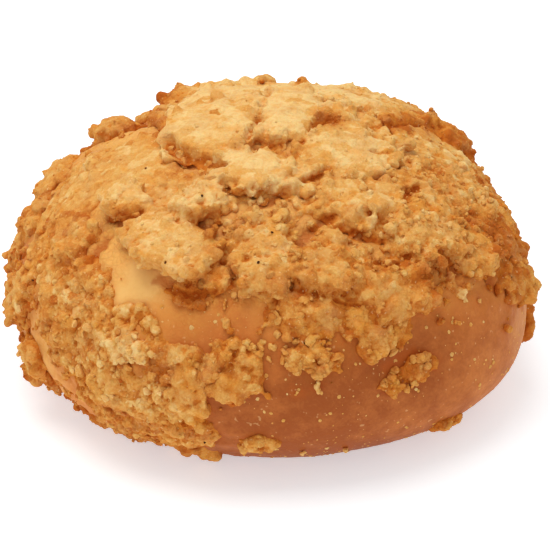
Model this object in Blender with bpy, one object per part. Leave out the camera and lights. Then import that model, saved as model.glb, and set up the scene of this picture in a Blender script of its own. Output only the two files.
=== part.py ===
"""A soboro bun: a round sweet bun whose dome carries a baked-on crust of streusel plates, clumps and crumbs.

The bun stands on its flat base at Z = 0, with the origin under the middle of its belly. The front, where the
crust's ledge and the bare bread show best, faces -Y. Lengths are in millimetres until to_metres().
A place on the bread is given by its azimuth (0 is +X, -90 the front) and its rise above the belly's plane,
in degrees.
"""

import math
import random

import bmesh
import bpy
from mathutils import Matrix, Vector, noise

# The bread under the crust, mm
BREAD_HALF_WIDTH = 55.0
BREAD_HALF_DEPTH = 54.5
BREAD_HEIGHT = 54.5
BELLY_HEIGHT = 19.0  # where the bread is widest, and where directions are measured from
DOME_POWER = 2.05  # 2 is an ellipse, more is boxier
FOOT_POWER = 2.15
FOOT_DROP = 26.6  # how far below the belly the foot would close, had the tray not made it flat
CROWN_LEAN = 3.0  # the crown sits this far to +X of the base's middle
UNEVEN = 0.9  # slow waves over the whole skin
BREAD_CUTS = 11  # across each face of the cube that the bread starts from

# Swells and hollows of the bread: azimuth, rise, spread in degrees, height in mm
SWELLS = {
    "front_right_belly": (-28, -8, 30, 2.6),
    "right_side": (12, 13, 24, -2.4),
    "back_right_shoulder": (50, 30, 14, 0.9),
    "front_left_belly": (-116, -15, 26, -1.5),
    "left_belly": (-165, -8, 22, -1.2),
    "crease_over_low_clump": (-58, 9, 7, -1.5),
    "pale_bulge": (-122, 21, 10, 1.0),
    "skyline_notch": (143, 33, 10, -1.8),
}

# Bare places inside the crusted part: azimuth, rise, spread in degrees
BARE = {
    "skyline_notch": (143, 34, 9),
    "pale_bulge": (-123, 23, 8),
    "upper_left": (178, 46, 9),
    "under_front_clumps": (-100, 19, 7),
}

# The crust itself, as relief in the bread's skin
CRUST_DEPTH = 1.0  # between plates and clumps
CRUST_FADE = 6.0  # degrees over which it runs out
EDGE_WANDER = 9.0  # degrees that its edge strays up and down
KNOBS = (0.13, 1.7)  # rounded knobs: how many to a mm, and their height in mm
CRACKS = (0.062, 1.5)  # cracks of the crown: the same, with a depth
ROUGH = (0.34, 0.9)  # fine roughness: waves to a mm, and height
JITTER = 0.9  # how far the crust's points are shaken along the skin, mm
BAND_MIDDLE = -128.0  # the band of crumbs down the front left side
BAND_HALF_WIDTH = 34.0
BAND_TOP = 15.0

# Plates of crust: azimuth, rise, length, width, height, turn of the length from east, and how far the
# downhill rim stands off
PLATES = {
    "crown_left": (163, 65, 23, 28, 3.8, 82, 1.4),
    "crown_middle": (84, 80, 17, 27, 3.8, -6, 0.4),
    "crown_front": (-110, 61, 19, 13, 3.6, -11, 1.8),
    "crown_right": (-34, 65, 23, 18, 3.0, -43, 0.6),
    "crown_back": (66, 52, 31, 22, 2.6, 8, 0.4),
    "back_ridge": (38, 42, 24, 18, 2.2, -30, 0.4),
    "right_shoulder": (5, 42, 22, 18, 2.2, -62, 0.4),
    "step": (-54, 49, 18, 14, 2.8, -36, 1.2),
    "left_shoulder": (-168, 32, 19, 22, 2.2, -87, 0.4),
    "left_flank": (177, 11, 15, 18, 2.7, -24, 0.6),
}

# Clumps of crumbs, by the same measures
CLUMPS = {
    "left_mid": (-150, 38, 13, 11, 3.6, 29, 0.8),
    "heart": (-122, 47, 12, 11, 3.4, 2, 1.2),
    "front_big": (-122, 33, 25, 12, 5.0, -6, 2.6),
    "mid_left": (-134, 37, 13, 8, 3.2, -9, 0.6),
    "centre": (-93, 35, 19, 13, 4.0, -82, 1.4),
    "centre_right": (-77, 31, 15, 10, 4.0, -18, 1.8),
    "right_front": (-59, 24, 16, 11, 3.2, -27, 0.8),
    "small_front": (-85, 23, 6, 5, 2.2, -7, 0.4),
    "ring": (-81, 13, 14, 9, 2.8, -12, 0.8),
    "low_right": (-60, 4, 17, 8, 3.2, 6, 1.0),
    "hanging": (-66, 15, 10, 7, 2.2, 83, 0.6),
    "ledge_middle": (-44, 32, 16, 12, 3.8, -33, 1.8),
    "ledge_right": (-33, 24, 15, 11, 3.8, -32, 1.8),
    "ledge_end": (-21, 13, 15, 12, 3.0, -33, 1.2),
    "shoulder_low": (-14, 33, 13, 15, 2.4, -72, 0.4),
    "shoulder_end": (-10, 21, 15, 14, 2.4, 64, 0.6),
    "shoulder_high": (-32, 41, 12, 12, 2.6, -59, 0.6),
    "skyline": (146, 29, 14, 14, 4.2, -85, 0.8),
    "right_edge": (-5, -5, 9, 8, 3.4, 80, 0.4),
    "skyline_small": (161, 20, 7, 6, 3.2, -40, 0.8),
    "left_edge": (-160, 6, 14, 9, 2.6, 70, 0.6),
    "left_low": (-157, -7, 11, 9, 2.4, 60, 0.4),
    "band_top_left": (-156, 18, 20, 11, 2.8, 17, 0.6),
    "band_top": (-140, 16, 18, 10, 2.6, 17, 0.6),
    "band_left": (-131, 8, 20, 11, 2.8, 6, 0.6),
    "band_middle": (-122, 14, 15, 11, 3.2, 5, 0.8),
    "band_low": (-115, 2, 24, 12, 2.6, 2, 0.6),
    "band_right": (-99, 12, 13, 12, 2.6, 9, 0.6),
    "base_left": (-127, -9, 12, 7, 2.0, 14, 0.2),
    "base_front": (-111, -8, 18, 7, 2.0, 5, 0.2),
    "base_small": (-92, -8, 7, 4, 1.8, 13, 0.2),
    "round": (-106, 2, 6, 6, 2.4, -13, 0.4),
}

PLATE_SHAPE = (3, 3.6)  # subdivisions of the icosphere, and how boxy it is pressed: 2 is an ellipsoid
CLUMP_SHAPE = (2, 2.5)
LARGE_CLUMP_SHAPE = (3, 2.5)
LARGE_CLUMP = 24.5  # from this length

# Clumps on the side away from the photograph, placed by a rule
BACK_CLUMPS = 10
BACK_FROM, BACK_TO = 0.0, 172.0  # azimuths
BACK_LENGTHS = (9.0, 17.0)
BACK_HEIGHTS = (2.4, 4.0)
BACK_LIFT = 0.7
BACK_TOP = 62.0  # the rise above which the crown's plates take over

# Crumbs: small lumps over the crust and a few strays on the bare bread
CRUMBS = 64
CRUMB_SIZES = (2.6, 5.2)
STRAY_SHARE = 0.10
CROWN_SHARE = 0.25  # the crown's plates carry this share of the crumbs that other crust does
ROUND_CRUMBS = {
    "crown_left": (160, 69, 3.0),
    "skyline": (98, 46, 3.2),
    "far": (80, 47, 3.0),
    "front": (-102, 24, 2.8),
}

ROOT_DEPTH = 1.8  # how deep a lump is sunk into the bread
CRAG = 1.1  # roughness of a lump's surface
LUMP_KNOBS = 0.45  # a lump has knobs of this share of the crust's
RAGGED = 0.4  # how far a lump's outline strays, as a share of its size
FLOOR_GAP = 0.5  # the crust stays this far above what the bun stands on
KEPT_SHARE = 0.84  # of the joined skin's triangles: the rest are slivers along its joins
SHARP_FROM = 40.0  # degrees between faces from which an edge looks sharp
SEED = 7


def direction(azimuth, rise):
    """The unit vector from the belly's centre at this azimuth and rise, in degrees."""
    a, r = math.radians(azimuth), math.radians(rise)
    return Vector((math.cos(r) * math.cos(a), math.cos(r) * math.sin(a), math.sin(r)))


def angles(way):
    """The azimuth and rise of a unit vector, in degrees."""
    return math.degrees(math.atan2(way.y, way.x)), math.degrees(math.asin(max(-1.0, min(1.0, way.z))))


def smooth(low, high, value):
    """0 below low, 1 above high, and a smooth step between them."""
    share = max(0.0, min(1.0, (value - low) / (high - low)))
    return share * share * (3 - 2 * share)


def swell(way):
    """How far the skin stands out from the plain dome in this direction."""
    total = UNEVEN * noise.noise(way * 2.3 + Vector((3.1, 0.4, 7.7)))
    for azimuth, rise, spread, height in SWELLS.values():
        away = math.degrees(way.angle(direction(azimuth, rise)))
        total += height * math.exp(-((away / spread) ** 2))
    return total


def skin(way):
    """The point of the bread's skin in a unit direction from the belly's centre."""
    domed = way.z > 0
    power = DOME_POWER if domed else FOOT_POWER
    drop = BREAD_HEIGHT - BELLY_HEIGHT if domed else FOOT_DROP
    across = math.hypot(way.x / BREAD_HALF_WIDTH, way.y / BREAD_HALF_DEPTH)
    reach = (across**power + (abs(way.z) / drop) ** power) ** (-1 / power) + swell(way)
    point = way * reach
    point.z = max(point.z + BELLY_HEIGHT, 0.0)
    climb = max(0.0, (point.z - BELLY_HEIGHT) / (BREAD_HEIGHT - BELLY_HEIGHT))
    point.x += CROWN_LEAN * climb**1.5
    return point


def frame_at(way):
    """The skin's point in this direction, with the unit vectors east, uphill and outward there."""
    step = 0.01
    east = Vector((-way.y, way.x, 0.0)).normalized()
    uphill = way.cross(east)
    here = skin(way)
    along = skin((way + east * step).normalized()) - here
    climb = skin((way + uphill * step).normalized()) - here
    outward = along.cross(climb).normalized()
    east = (east - outward * east.dot(outward)).normalized()
    return here, east, outward.cross(east), outward


def crust_edge(azimuth):
    """The rise above which the dome is crusted, at this azimuth."""
    front = math.exp(-(((azimuth + 75) / 42) ** 2))
    return 3.0 + 22.0 * front


def crusted(way):
    """1 where crust covers the bread, 0 on bare bread, and between them along its edge."""
    azimuth, rise = angles(way)
    wander = EDGE_WANDER * noise.noise(way * 3.4 + Vector((9.2, 5.0, 1.3)))
    dome = smooth(-CRUST_FADE, CRUST_FADE, rise + wander - crust_edge(azimuth))
    beside = smooth(1.15, 0.85, abs(azimuth - BAND_MIDDLE) / BAND_HALF_WIDTH)
    band = beside * smooth(CRUST_FADE, -CRUST_FADE, rise + wander - BAND_TOP) * smooth(-32, -20, rise)
    cover = max(dome, band)
    for azimuth, rise, spread in BARE.values():
        cover *= smooth(0.6, 1.4, math.degrees(way.angle(direction(azimuth, rise))) / spread)
    return cover


def knobs(point):
    """How high the crust's rounded knobs stand at this point."""
    near, second = noise.voronoi(point * KNOBS[0])[0][:2]
    return KNOBS[1] * max(0.0, 1 - (near / 0.75) ** 2) * smooth(0.0, 0.25, second - near)


def relief(way, point):
    """How far the crust stands off the skin at this point: knobs, cracks on the crown, and roughness."""
    first, other = noise.voronoi(point * CRACKS[0])[0][:2]
    crown = smooth(36, 56, angles(way)[1])
    cracks = CRACKS[1] * crown * smooth(0.22, 0.0, other - first)
    fine = ROUGH[1] * noise.noise(point * ROUGH[0])
    return crusted(way) * (CRUST_DEPTH + knobs(point) * (1 - 0.5 * crown) - cracks + fine)


def bread():
    """The bread as one closed body: a cube drawn out to the skin, finer where it is crusted."""
    bm = bmesh.new()
    bmesh.ops.create_cube(bm, size=2.0)
    bmesh.ops.subdivide_edges(bm, edges=bm.edges, cuts=BREAD_CUTS, use_grid_fill=True)
    for vertex in bm.verts:
        # Even spacing over the ball: each coordinate goes through a tangent first.
        vertex.co = Vector([math.tan(side * math.pi / 4) for side in vertex.co]).normalized()
    rough = [edge for edge in bm.edges if all(crusted(v.co.normalized()) > 0.1 for v in edge.verts)]
    bmesh.ops.subdivide_edges(bm, edges=rough, cuts=1, use_grid_fill=True)
    for vertex in bm.verts:
        way = vertex.co.normalized()
        point, east, uphill, outward = frame_at(way)
        vertex.co = point
        if point.z > 0:
            shaken = noise.noise_vector(point * 1.7) * JITTER * crusted(way)
            vertex.co += east * shaken.x + uphill * shaken.y + outward * relief(way, point)
            vertex.co.z = max(vertex.co.z, 0.0)
    # The flat base needs no faces of its own: they are melted into one.
    base = [face for face in bm.faces if all(v.co.z < 1e-6 for v in face.verts)]
    bmesh.ops.dissolve_faces(bm, faces=base)
    bmesh.ops.triangulate(bm, faces=bm.faces)
    return to_object("soboro_bun", bm)


def lump(name, place, shape, seed):
    """One piece of crust: an icosphere pressed flat, ragged in outline, laid on the skin and sunk into it."""
    azimuth, rise, length, width, height, turn, lift = place
    detail, boxiness = shape
    centre = direction(azimuth, rise)
    _, east, uphill, _ = frame_at(centre)
    reach = (skin(centre) - Vector((0, 0, BELLY_HEIGHT))).length
    spin = Matrix.Rotation(math.radians(turn), 2)
    away = Vector((seed * 3.7, seed * 1.9, seed * 5.3))
    bm = bmesh.new()
    bmesh.ops.create_icosphere(bm, subdivisions=detail, radius=1.0)
    for vertex in bm.verts:
        ball = vertex.co.normalized()
        flat = math.hypot(ball.x, ball.y)
        pressed = (flat**boxiness + abs(ball.z) ** boxiness) ** (-1 / boxiness)
        rim = Vector((ball.x, ball.y, 0))
        outline = 1 + RAGGED * (noise.noise(rim * 2.1 + away) + 0.6 * noise.noise(rim * 5.3 + away))
        along, across = spin @ Vector((ball.x * length, ball.y * width)) * (0.5 * pressed * outline)
        way = (centre * reach + east * along + uphill * across).normalized()
        point, _, _, outward = frame_at(way)
        top = height if ball.z > 0 else ROOT_DEPTH
        crags = CRAG * noise.noise(point * 0.31 + away) + LUMP_KNOBS * knobs(point + away)
        crags *= smooth(-0.3, 0.2, ball.z)
        overhang = lift * smooth(0.0, 1.0, -across / width * 2)
        vertex.co = point + outward * (ball.z * pressed * top + crags + overhang)
        vertex.co.z = max(vertex.co.z, FLOOR_GAP)
    return to_object(name, bm)


def crumb(name, azimuth, rise, size, stand_off, spin, seed):
    """A small lump: a coarse ball with its corners pushed about, sunk into what is under it."""
    way = direction(azimuth, rise)
    here, _, _, outward = frame_at(way)
    stand_off += 0.7 * relief(way, here)
    bm = bmesh.new()
    bmesh.ops.create_icosphere(bm, subdivisions=1, radius=size / 2)
    tumbled = Matrix.Rotation(spin, 3, "X") @ Matrix.Rotation(2 * spin, 3, "Z")
    bmesh.ops.rotate(bm, verts=bm.verts, matrix=tumbled)
    for vertex in bm.verts:
        vertex.co *= 1 + 0.3 * noise.noise(vertex.co * 0.9 + Vector((seed, seed, seed)))
        vertex.co += here + outward * stand_off
        vertex.co.z = max(vertex.co.z, FLOOR_GAP)
    return to_object(name, bm)


def back_places(draw):
    """Places for clumps on the far side, spread evenly by the golden angle and shaken a little."""
    golden = 180 * (3 - math.sqrt(5))
    places, n = [], 0
    while len(places) < BACK_CLUMPS:
        azimuth = (golden * n) % 360 - 180
        rise = math.degrees(math.asin(-0.05 + 0.97 * ((n * 0.618034) % 1)))
        n += 1
        length = draw.uniform(*BACK_LENGTHS)
        width = length * draw.uniform(0.6, 0.95)
        shape = (length, width, draw.uniform(*BACK_HEIGHTS), draw.uniform(-90, 90), BACK_LIFT)
        if BACK_FROM < azimuth < BACK_TO and crust_edge(azimuth) - 6 < rise < BACK_TOP:
            places.append((azimuth + draw.uniform(-5, 5), rise + draw.uniform(-4, 4), *shape))
    return places


def crumb_places(draw):
    """Places for crumbs: mostly where the bread is crusted, fewer on the crown's plates, and a few strays."""
    places = []
    while len(places) < CRUMBS:
        way = direction(draw.uniform(-180, 180), math.degrees(math.asin(draw.uniform(-0.42, 0.97))))
        azimuth, rise = angles(way)
        likely = max(crusted(way) * (CROWN_SHARE if rise > 52 else 1), STRAY_SHARE)
        size = draw.uniform(*CRUMB_SIZES) * (1 if crusted(way) > 0.5 else 0.7)
        if draw.random() < likely:
            places.append((azimuth, rise, size, size * draw.uniform(-0.1, 0.22), draw.uniform(0, 3)))
    return places


def crust():
    """Every plate, clump and crumb, as closed bodies that reach into the bread."""
    draw = random.Random(SEED)
    lumps = []
    for n, (name, place) in enumerate(PLATES.items()):
        lumps.append(lump("plate_" + name, place, PLATE_SHAPE, n + 1))
    for n, (name, place) in enumerate(CLUMPS.items()):
        shape = LARGE_CLUMP_SHAPE if place[2] > LARGE_CLUMP else CLUMP_SHAPE
        lumps.append(lump("clump_" + name, place, shape, n + 21))
    for n, place in enumerate(back_places(draw)):
        lumps.append(lump(f"clump_back_{n}", place, CLUMP_SHAPE, n + 61))
    for n, place in enumerate(crumb_places(draw)):
        lumps.append(crumb(f"crumb_{n}", *place, n))
    for name, (azimuth, rise, size) in ROUND_CRUMBS.items():
        lumps.append(crumb("round_crumb_" + name, azimuth, rise, size, size / 3, 0.5, 3))
    return lumps


def to_object(name, bm):
    """A linked object in metres from a bmesh in millimetres."""
    bmesh.ops.scale(bm, vec=(0.001, 0.001, 0.001), verts=bm.verts)
    mesh = bpy.data.meshes.new(name)
    bm.to_mesh(mesh)
    bm.free()
    made = bpy.data.objects.new(name, mesh)
    bpy.context.scene.collection.objects.link(made)
    return made


def fuse(body, lumps):
    """Joins the lumps to the body by one Boolean union, applied, and removes them."""
    gathered = bpy.data.collections.new("crust")
    bpy.context.scene.collection.children.link(gathered)
    for piece in lumps:
        bpy.context.scene.collection.objects.unlink(piece)
        gathered.objects.link(piece)
    union = body.modifiers.new("fuse_crust", "BOOLEAN")
    union.operation = "UNION"
    union.operand_type = "COLLECTION"
    union.collection = gathered
    thinned = body.modifiers.new("thin_slivers", "DECIMATE")
    thinned.ratio = KEPT_SHARE
    graph = bpy.context.evaluated_depsgraph_get()
    fused = bpy.data.meshes.new_from_object(body.evaluated_get(graph))
    body.modifiers.clear()
    body.data = fused
    for piece in lumps:
        bpy.data.objects.remove(piece)
    bpy.data.collections.remove(gathered)


def drop_scraps(mesh):
    """Keeps the largest closed skin: what is left is loose scraps and the walls of sealed hollows."""
    bm = bmesh.new()
    bm.from_mesh(mesh)
    skins, seen = [], set()
    for start in bm.verts:
        if start in seen:
            continue
        found, front = [start], [start]
        seen.add(start)
        while front:
            here = front.pop()
            for edge in here.link_edges:
                there = edge.other_vert(here)
                if there not in seen:
                    seen.add(there)
                    found.append(there)
                    front.append(there)
        skins.append(found)
    skins.sort(key=len)
    for scrap in skins[:-1]:
        bmesh.ops.delete(bm, geom=scrap, context="VERTS")
    bm.to_mesh(mesh)
    bm.free()


def baked_material():
    """The colour of well-baked streusel."""
    material = bpy.data.materials.new("baked_crust")
    material.use_nodes = True
    shader = material.node_tree.nodes["Principled BSDF"]
    shader.inputs["Base Color"].default_value = (0.68, 0.33, 0.10, 1)
    shader.inputs["Roughness"].default_value = 0.75
    shader.inputs["Metallic"].default_value = 0.0
    return material


def main():
    for old in list(bpy.data.objects):
        bpy.data.objects.remove(old)
    bun = bread()
    fuse(bun, crust())
    drop_scraps(bun.data)
    bun.data.shade_smooth()
    bun.data.set_sharp_from_angle(angle=math.radians(SHARP_FROM))
    bun.data.materials.clear()
    bun.data.materials.append(baked_material())
    parts = bpy.data.collections.new("soboro_bun")
    bpy.context.scene.collection.children.link(parts)
    parts.objects.link(bun)
    bpy.context.scene.collection.objects.unlink(bun)


main()
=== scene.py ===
import math

import bmesh
import bpy
import numpy as np
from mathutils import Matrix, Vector, kdtree, noise


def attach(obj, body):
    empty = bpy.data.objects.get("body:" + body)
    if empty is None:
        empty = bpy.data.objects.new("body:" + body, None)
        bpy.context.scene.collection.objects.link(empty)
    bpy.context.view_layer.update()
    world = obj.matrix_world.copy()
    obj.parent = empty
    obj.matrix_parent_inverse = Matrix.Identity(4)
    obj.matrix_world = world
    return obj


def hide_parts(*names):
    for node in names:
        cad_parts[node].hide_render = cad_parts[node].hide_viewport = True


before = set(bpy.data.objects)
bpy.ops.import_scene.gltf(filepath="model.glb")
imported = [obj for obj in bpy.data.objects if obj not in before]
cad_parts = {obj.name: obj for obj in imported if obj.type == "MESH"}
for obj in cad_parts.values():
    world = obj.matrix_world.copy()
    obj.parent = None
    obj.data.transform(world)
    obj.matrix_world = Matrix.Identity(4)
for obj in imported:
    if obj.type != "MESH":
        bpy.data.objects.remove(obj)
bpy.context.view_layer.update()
print("frame loaded")

# The bread's form, as the frame has it

breadForm = {
    "halfWidth": 55.0,
    "halfDepth": 54.5,
    "height": 54.5,
    "belly": 19.0,  # height of the widest part
    "domePower": 2.05,
    "footPower": 2.15,
    "footDrop": 26.6,
    "lean": 3.0,  # of the crown, to +X
    "uneven": 0.9,
    "unevenScale": 2.3,
    "swells": {  # azimuth, rise, spread in degrees, height
        "frontRightBelly": (-28, -8, 30, 2.6),
        "rightSide": (12, 13, 24, -2.4),
        "backRightShoulder": (50, 30, 14, 0.9),
        "frontLeftBelly": (-116, -15, 26, -1.5),
        "leftBelly": (-165, -8, 22, -1.2),
        "creaseOverLowClump": (-58, 9, 7, -1.5),
        "paleBulge": (-122, 21, 10, 1.0),
        "skylineNotch": (143, 33, 10, -1.8),
    },
}


def unit(rows):
    return rows / np.maximum(np.linalg.norm(rows, axis=-1, keepdims=True), 1e-9)


def wayTo(azimuth, rise):
    a, r = np.radians(azimuth), np.radians(rise)
    return np.stack([np.cos(r) * np.cos(a), np.cos(r) * np.sin(a), np.sin(r)], axis=-1)


def anglesOf(ways):
    return np.degrees(np.arctan2(ways[:, 1], ways[:, 0])), np.degrees(np.arcsin(np.clip(ways[:, 2], -1, 1)))


def smoothStep(low, high, value):
    share = np.clip((value - low) / (high - low), 0, 1)
    return share * share * (3 - 2 * share)


noiseShifts = {"skin": (3.1, 0.4, 7.7), "edge": (9.2, 5.0, 1.3), "cuts": (5, 1, 3), "cutFloor": (2, 8, 4)}


def noiseAt(rows, scale, shift=(0, 0, 0)):
    return np.array([noise.noise(row) for row in (rows * scale + np.array(shift)).tolist()])


def degreesFrom(ways, azimuth, rise):
    return np.degrees(np.arccos(np.clip(ways @ wayTo(azimuth, rise), -1, 1)))


def withMounds(values, ways, mounds):
    # the values with a soft mound or hollow added at each place: azimuth, rise, spread in degrees, height
    for azimuth, rise, spread, height in mounds.values():
        values = values + height * np.exp(-((degreesFrom(ways, azimuth, rise) / spread) ** 2))
    return values


def skinReach(ways):
    # how far the skin is from the belly's centre, before the lean
    form = breadForm
    domed = ways[:, 2] > 0
    power = np.where(domed, form["domePower"], form["footPower"])
    drop = np.where(domed, form["height"] - form["belly"], form["footDrop"])
    across = np.hypot(ways[:, 0] / form["halfWidth"], ways[:, 1] / form["halfDepth"])
    reach = (across**power + (np.abs(ways[:, 2]) / drop) ** power) ** (-1 / power)
    reach = reach + form["uneven"] * noiseAt(ways, form["unevenScale"], noiseShifts["skin"])
    return withMounds(reach, ways, form["swells"])


def leanAt(z):
    climb = np.clip((z - breadForm["belly"]) / (breadForm["height"] - breadForm["belly"]), 0, None)
    return breadForm["lean"] * climb**1.5


def skinAt(ways):
    points = ways * skinReach(ways)[:, None]
    points[:, 2] = np.maximum(points[:, 2] + breadForm["belly"], 0)
    points[:, 0] += leanAt(points[:, 2])
    return points


def waysOf(points):
    # the ways to points near the skin, and how far above it they are
    upright = points - np.array([0, 0, breadForm["belly"]])
    upright[:, 0] -= leanAt(points[:, 2])
    reach = np.linalg.norm(upright, axis=1)
    ways = upright / reach[:, None]
    return ways, reach - skinReach(ways)


def skinFrames(ways, step=0.01):
    # the skin's points there, and the unit vectors east, uphill and outward
    east = unit(np.stack([-ways[:, 1], ways[:, 0], np.zeros(len(ways))], axis=1))
    uphill = np.cross(ways, east)
    here = skinAt(ways)
    along = skinAt(unit(ways + east * step)) - here
    climb = skinAt(unit(ways + uphill * step)) - here
    outward = unit(np.cross(along, climb))
    east = unit(east - outward * np.sum(east * outward, axis=1, keepdims=True))
    return here, east, np.cross(outward, east), outward


# Where the crust lies

crustZone = {
    "edge": 3.0,  # the rise above which the dome is crusted
    "frontEdge": 22.0,  # more at the front
    "frontAt": -75.0,
    "frontSpread": 42.0,
    "fade": 6.0,
    "wander": 9.0,
    "wanderScale": 3.4,
    "bandAt": -128.0,  # the band of crumbs down the front left
    "bandHalf": 34.0,
    "bandSides": (0.75, 1.25),
    "bandTop": 15.0,
    "bandFoot": (-32, -20),
    "bareEdge": (0.6, 1.4),
    "bare": {  # azimuth, rise, spread
        "skylineNotch": (143, 34, 9),
        "paleBulge": (-123, 23, 8),
        "upperLeft": (178, 46, 9),
        "underFrontClumps": (-100, 19, 7),
        "underLedge": (-111, 20.5, 6),
    },
}


def edgeAt(azimuth):
    front = ((azimuth - crustZone["frontAt"]) / crustZone["frontSpread"]) ** 2
    return crustZone["edge"] + crustZone["frontEdge"] * np.exp(-front)


def crustedAt(ways):
    zone = crustZone
    azimuth, rise = anglesOf(ways)
    wander = zone["wander"] * noiseAt(ways, zone["wanderScale"], noiseShifts["edge"])
    dome = smoothStep(-zone["fade"], zone["fade"], rise + wander - edgeAt(azimuth))
    beside = (np.abs(azimuth - zone["bandAt"]) + wander) / zone["bandHalf"]
    under = 1 - smoothStep(-zone["fade"], zone["fade"], rise + wander - zone["bandTop"])
    band = (1 - smoothStep(*zone["bandSides"], beside)) * under * smoothStep(*zone["bandFoot"], rise)
    cover = np.maximum(dome, band)
    for azimuthOf, riseOf, spread in zone["bare"].values():
        cover = cover * smoothStep(*zone["bareEdge"], degreesFrom(ways, azimuthOf, riseOf) / spread)
    return cover


# Where the crust broke open as the bun rose, where it browned, and where shade is painted on

cuts = {  # azimuth and rise along it, half width, depth
    "crownMain": ([(100, 65), (127, 79), (-167, 81), (-133, 73)], 0.9, 2.4),
    "underCrownLeft": ([(-170, 55), (-158, 56), (-149, 57), (-140, 59), (-128, 60)], 2.3, 3.6),
    "frontNotch": ([(-124, 75), (-109, 76), (-93, 77)], 1.2, 2.2),
    "besideFront": ([(-98, 50), (-94, 52), (-88, 54)], 1.6, 2.4),
    "crownPit": ([(-8, 80), (10, 77), (16, 72)], 2.2, 2.6),
    "pitTail": ([(-8, 79), (-50, 79), (-73, 73), (-82, 68)], 0.8, 1.6),
    "tailFoot": ([(-79, 58), (-71, 60), (-62, 61)], 1.2, 1.8),
    "pitCrease": ([(16, 71), (14, 66), (13, 61), (16, 55)], 0.7, 1.3),
    "shoulderGroove": ([(16, 55), (21, 49), (26, 42), (29, 33)], 1.8, 2.2),
    "plateCrack": ([(-27, 60), (-22, 56), (-17, 53)], 0.7, 1.4),
    "plateCrackLow": ([(-49, 53), (-42, 52), (-34, 50)], 0.7, 1.4),
    "darkFoot": ([(-83, 38), (-80, 41), (-76, 43), (-70, 45)], 1.6, 1.8),
    "longPit": ([(-70, 42), (-65, 39), (-61, 37), (-57, 35)], 1.4, 2.1),
    "shortPit": ([(-42, 43), (-35, 44), (-30, 43)], 1.4, 2.2),
    "rowPitA": ([(-63, 31), (-60, 30), (-56, 29)], 1.0, 2.2),
    "rowPitB": ([(-55, 30), (-50, 30)], 1.0, 2.2),
    "holeA": ([(-45, 28), (-43, 26)], 1.0, 2.4),
    "holeB": ([(-42, 24), (-41, 22)], 1.1, 2.4),
    "holeC": ([(-28, 21), (-27, 19)], 1.0, 2.2),
    "holeD": ([(-32, 17), (-31, 13)], 1.2, 2.4),
    "underCrownFront": ([(-118, 54), (-110, 54), (-103, 54)], 1.2, 1.8),
    "underHeart": ([(-121, 42), (-115, 40), (-112, 42)], 1.2, 1.8),
    "underLeftMid": ([(-149, 33), (-142, 34), (-140, 39)], 1.2, 2.0),
    "underFrontBig": ([(-121, 26), (-116, 25), (-111, 24), (-105, 26)], 1.5, 3.0),
    "besideShelf": ([(-143, 29), (-142, 24)], 1.4, 2.4),
    "fold": ([(-87, 28), (-84, 27), (-79, 26), (-74, 23.5), (-68, 22)], 0.5, 1.3),
    "besideLowRight": ([(-63, 8), (-58, 9), (-54, 8)], 1.2, 1.4),
    "lowRightHollow": ([(-64, 8), (-60, 9), (-57, 9)], 1.6, 1.2),
    "skylineNotch": ([(131, 16), (134, 24), (137.5, 32), (145, 39), (153, 44)], 3.0, 6.0),
}
toastsAndShades = {  # azimuth, rise, spread in degrees, how much browner: toasting, and painted shade where noted
    "crownLeftRim": (137, 38, 10, 0.5),
    "crownLeftRimLow": (165, 52, 7, 0.3),
    "crownPit": (10, 76, 6, 1.1),
    "pitTail": (-70, 74, 5, 0.3),
    "grooveNear": (19, 52, 5, 1.0),
    "plateCrack": (-22, 56, 3, 0.3),
    "grooveFar": (27, 43, 5, 0.8),
    "shoulderTop": (28, 34, 7, 0.4),
    "shoulderEdge": (25, 26, 6, 0.6),
    "shoulderIn": (-17, 42, 6, 0.4),
    "shoulderMid": (-2, 45, 4, 0.1),
    "crownFrontLow": (-110, 57, 5, 0.2),
    "darkFoot": (-79, 40, 5, 0.1),
    "shortPit": (-37, 43, 5, 0.25),
    "longPit": (-63, 38, 5, 0.05),
    "frontNotch": (-111, 76, 4, 0.5),
    "underCrownLeft": (-146, 57, 6, 0.6),
    # painted shade on the heart's lower-right side
    "heartSide": (-114, 42, 5, 0.35),
    "leftShade": (-144, 25, 5, 0.4),
    # painted shade on leftMid's lower-right side
    "leftMidSide": (-143, 36, 3.5, 0.5),
    "skyline": (146, 30, 9, 0.15),
    "rightLow": (-23, 20, 9, 0.7),
    "leftUnder": (-160, 23, 5, 0.3),
    "orangePatch": (-53, 25, 6, 0.35),
    "middle": (-68, 52, 12, 0.15),
    "step": (-45, 52, 9, 0.15),
    "aboveFold": (-87, 27, 7, 0.3),
    "besideHeart": (-106, 30, 5, 0.3),
    "lowRight": (-60, 5, 12, 0.25),
    "ring": (-80, 13, 10, 0.1),
    "rightEdge": (-5, 0, 20, 0.1),
    "ledge": (-40, 28, 9, 0.15),
}


cutEdge = {"ragged": 0.9, "scale": 0.6, "fade": (0.45, 1.1)}


def cutShare(ways, points):
    # how much of a cut runs there, from 0 to 1, and how deep it may go
    ragged = cutEdge["ragged"] * noiseAt(points, cutEdge["scale"], noiseShifts["cuts"])
    share, deepest = np.zeros(len(ways)), np.zeros(len(ways))
    for along, halfWidth, deep in cuts.values():
        ends = wayTo(*np.array(along, float).T)
        away = np.full(len(ways), np.inf)
        for first, second in zip(ends[:-1], ends[1:]):
            run = second - first
            t = np.clip((ways - first) @ run / (run @ run), 0, 1)
            away = np.minimum(away, np.linalg.norm(ways - first - t[:, None] * run, axis=1))
        cut = 1 - smoothStep(*cutEdge["fade"], (away * breadForm["halfWidth"] + ragged) / halfWidth)
        deepest = np.where(cut > share, deep, deepest)
        share = np.maximum(share, cut)
    return share, deepest


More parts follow.
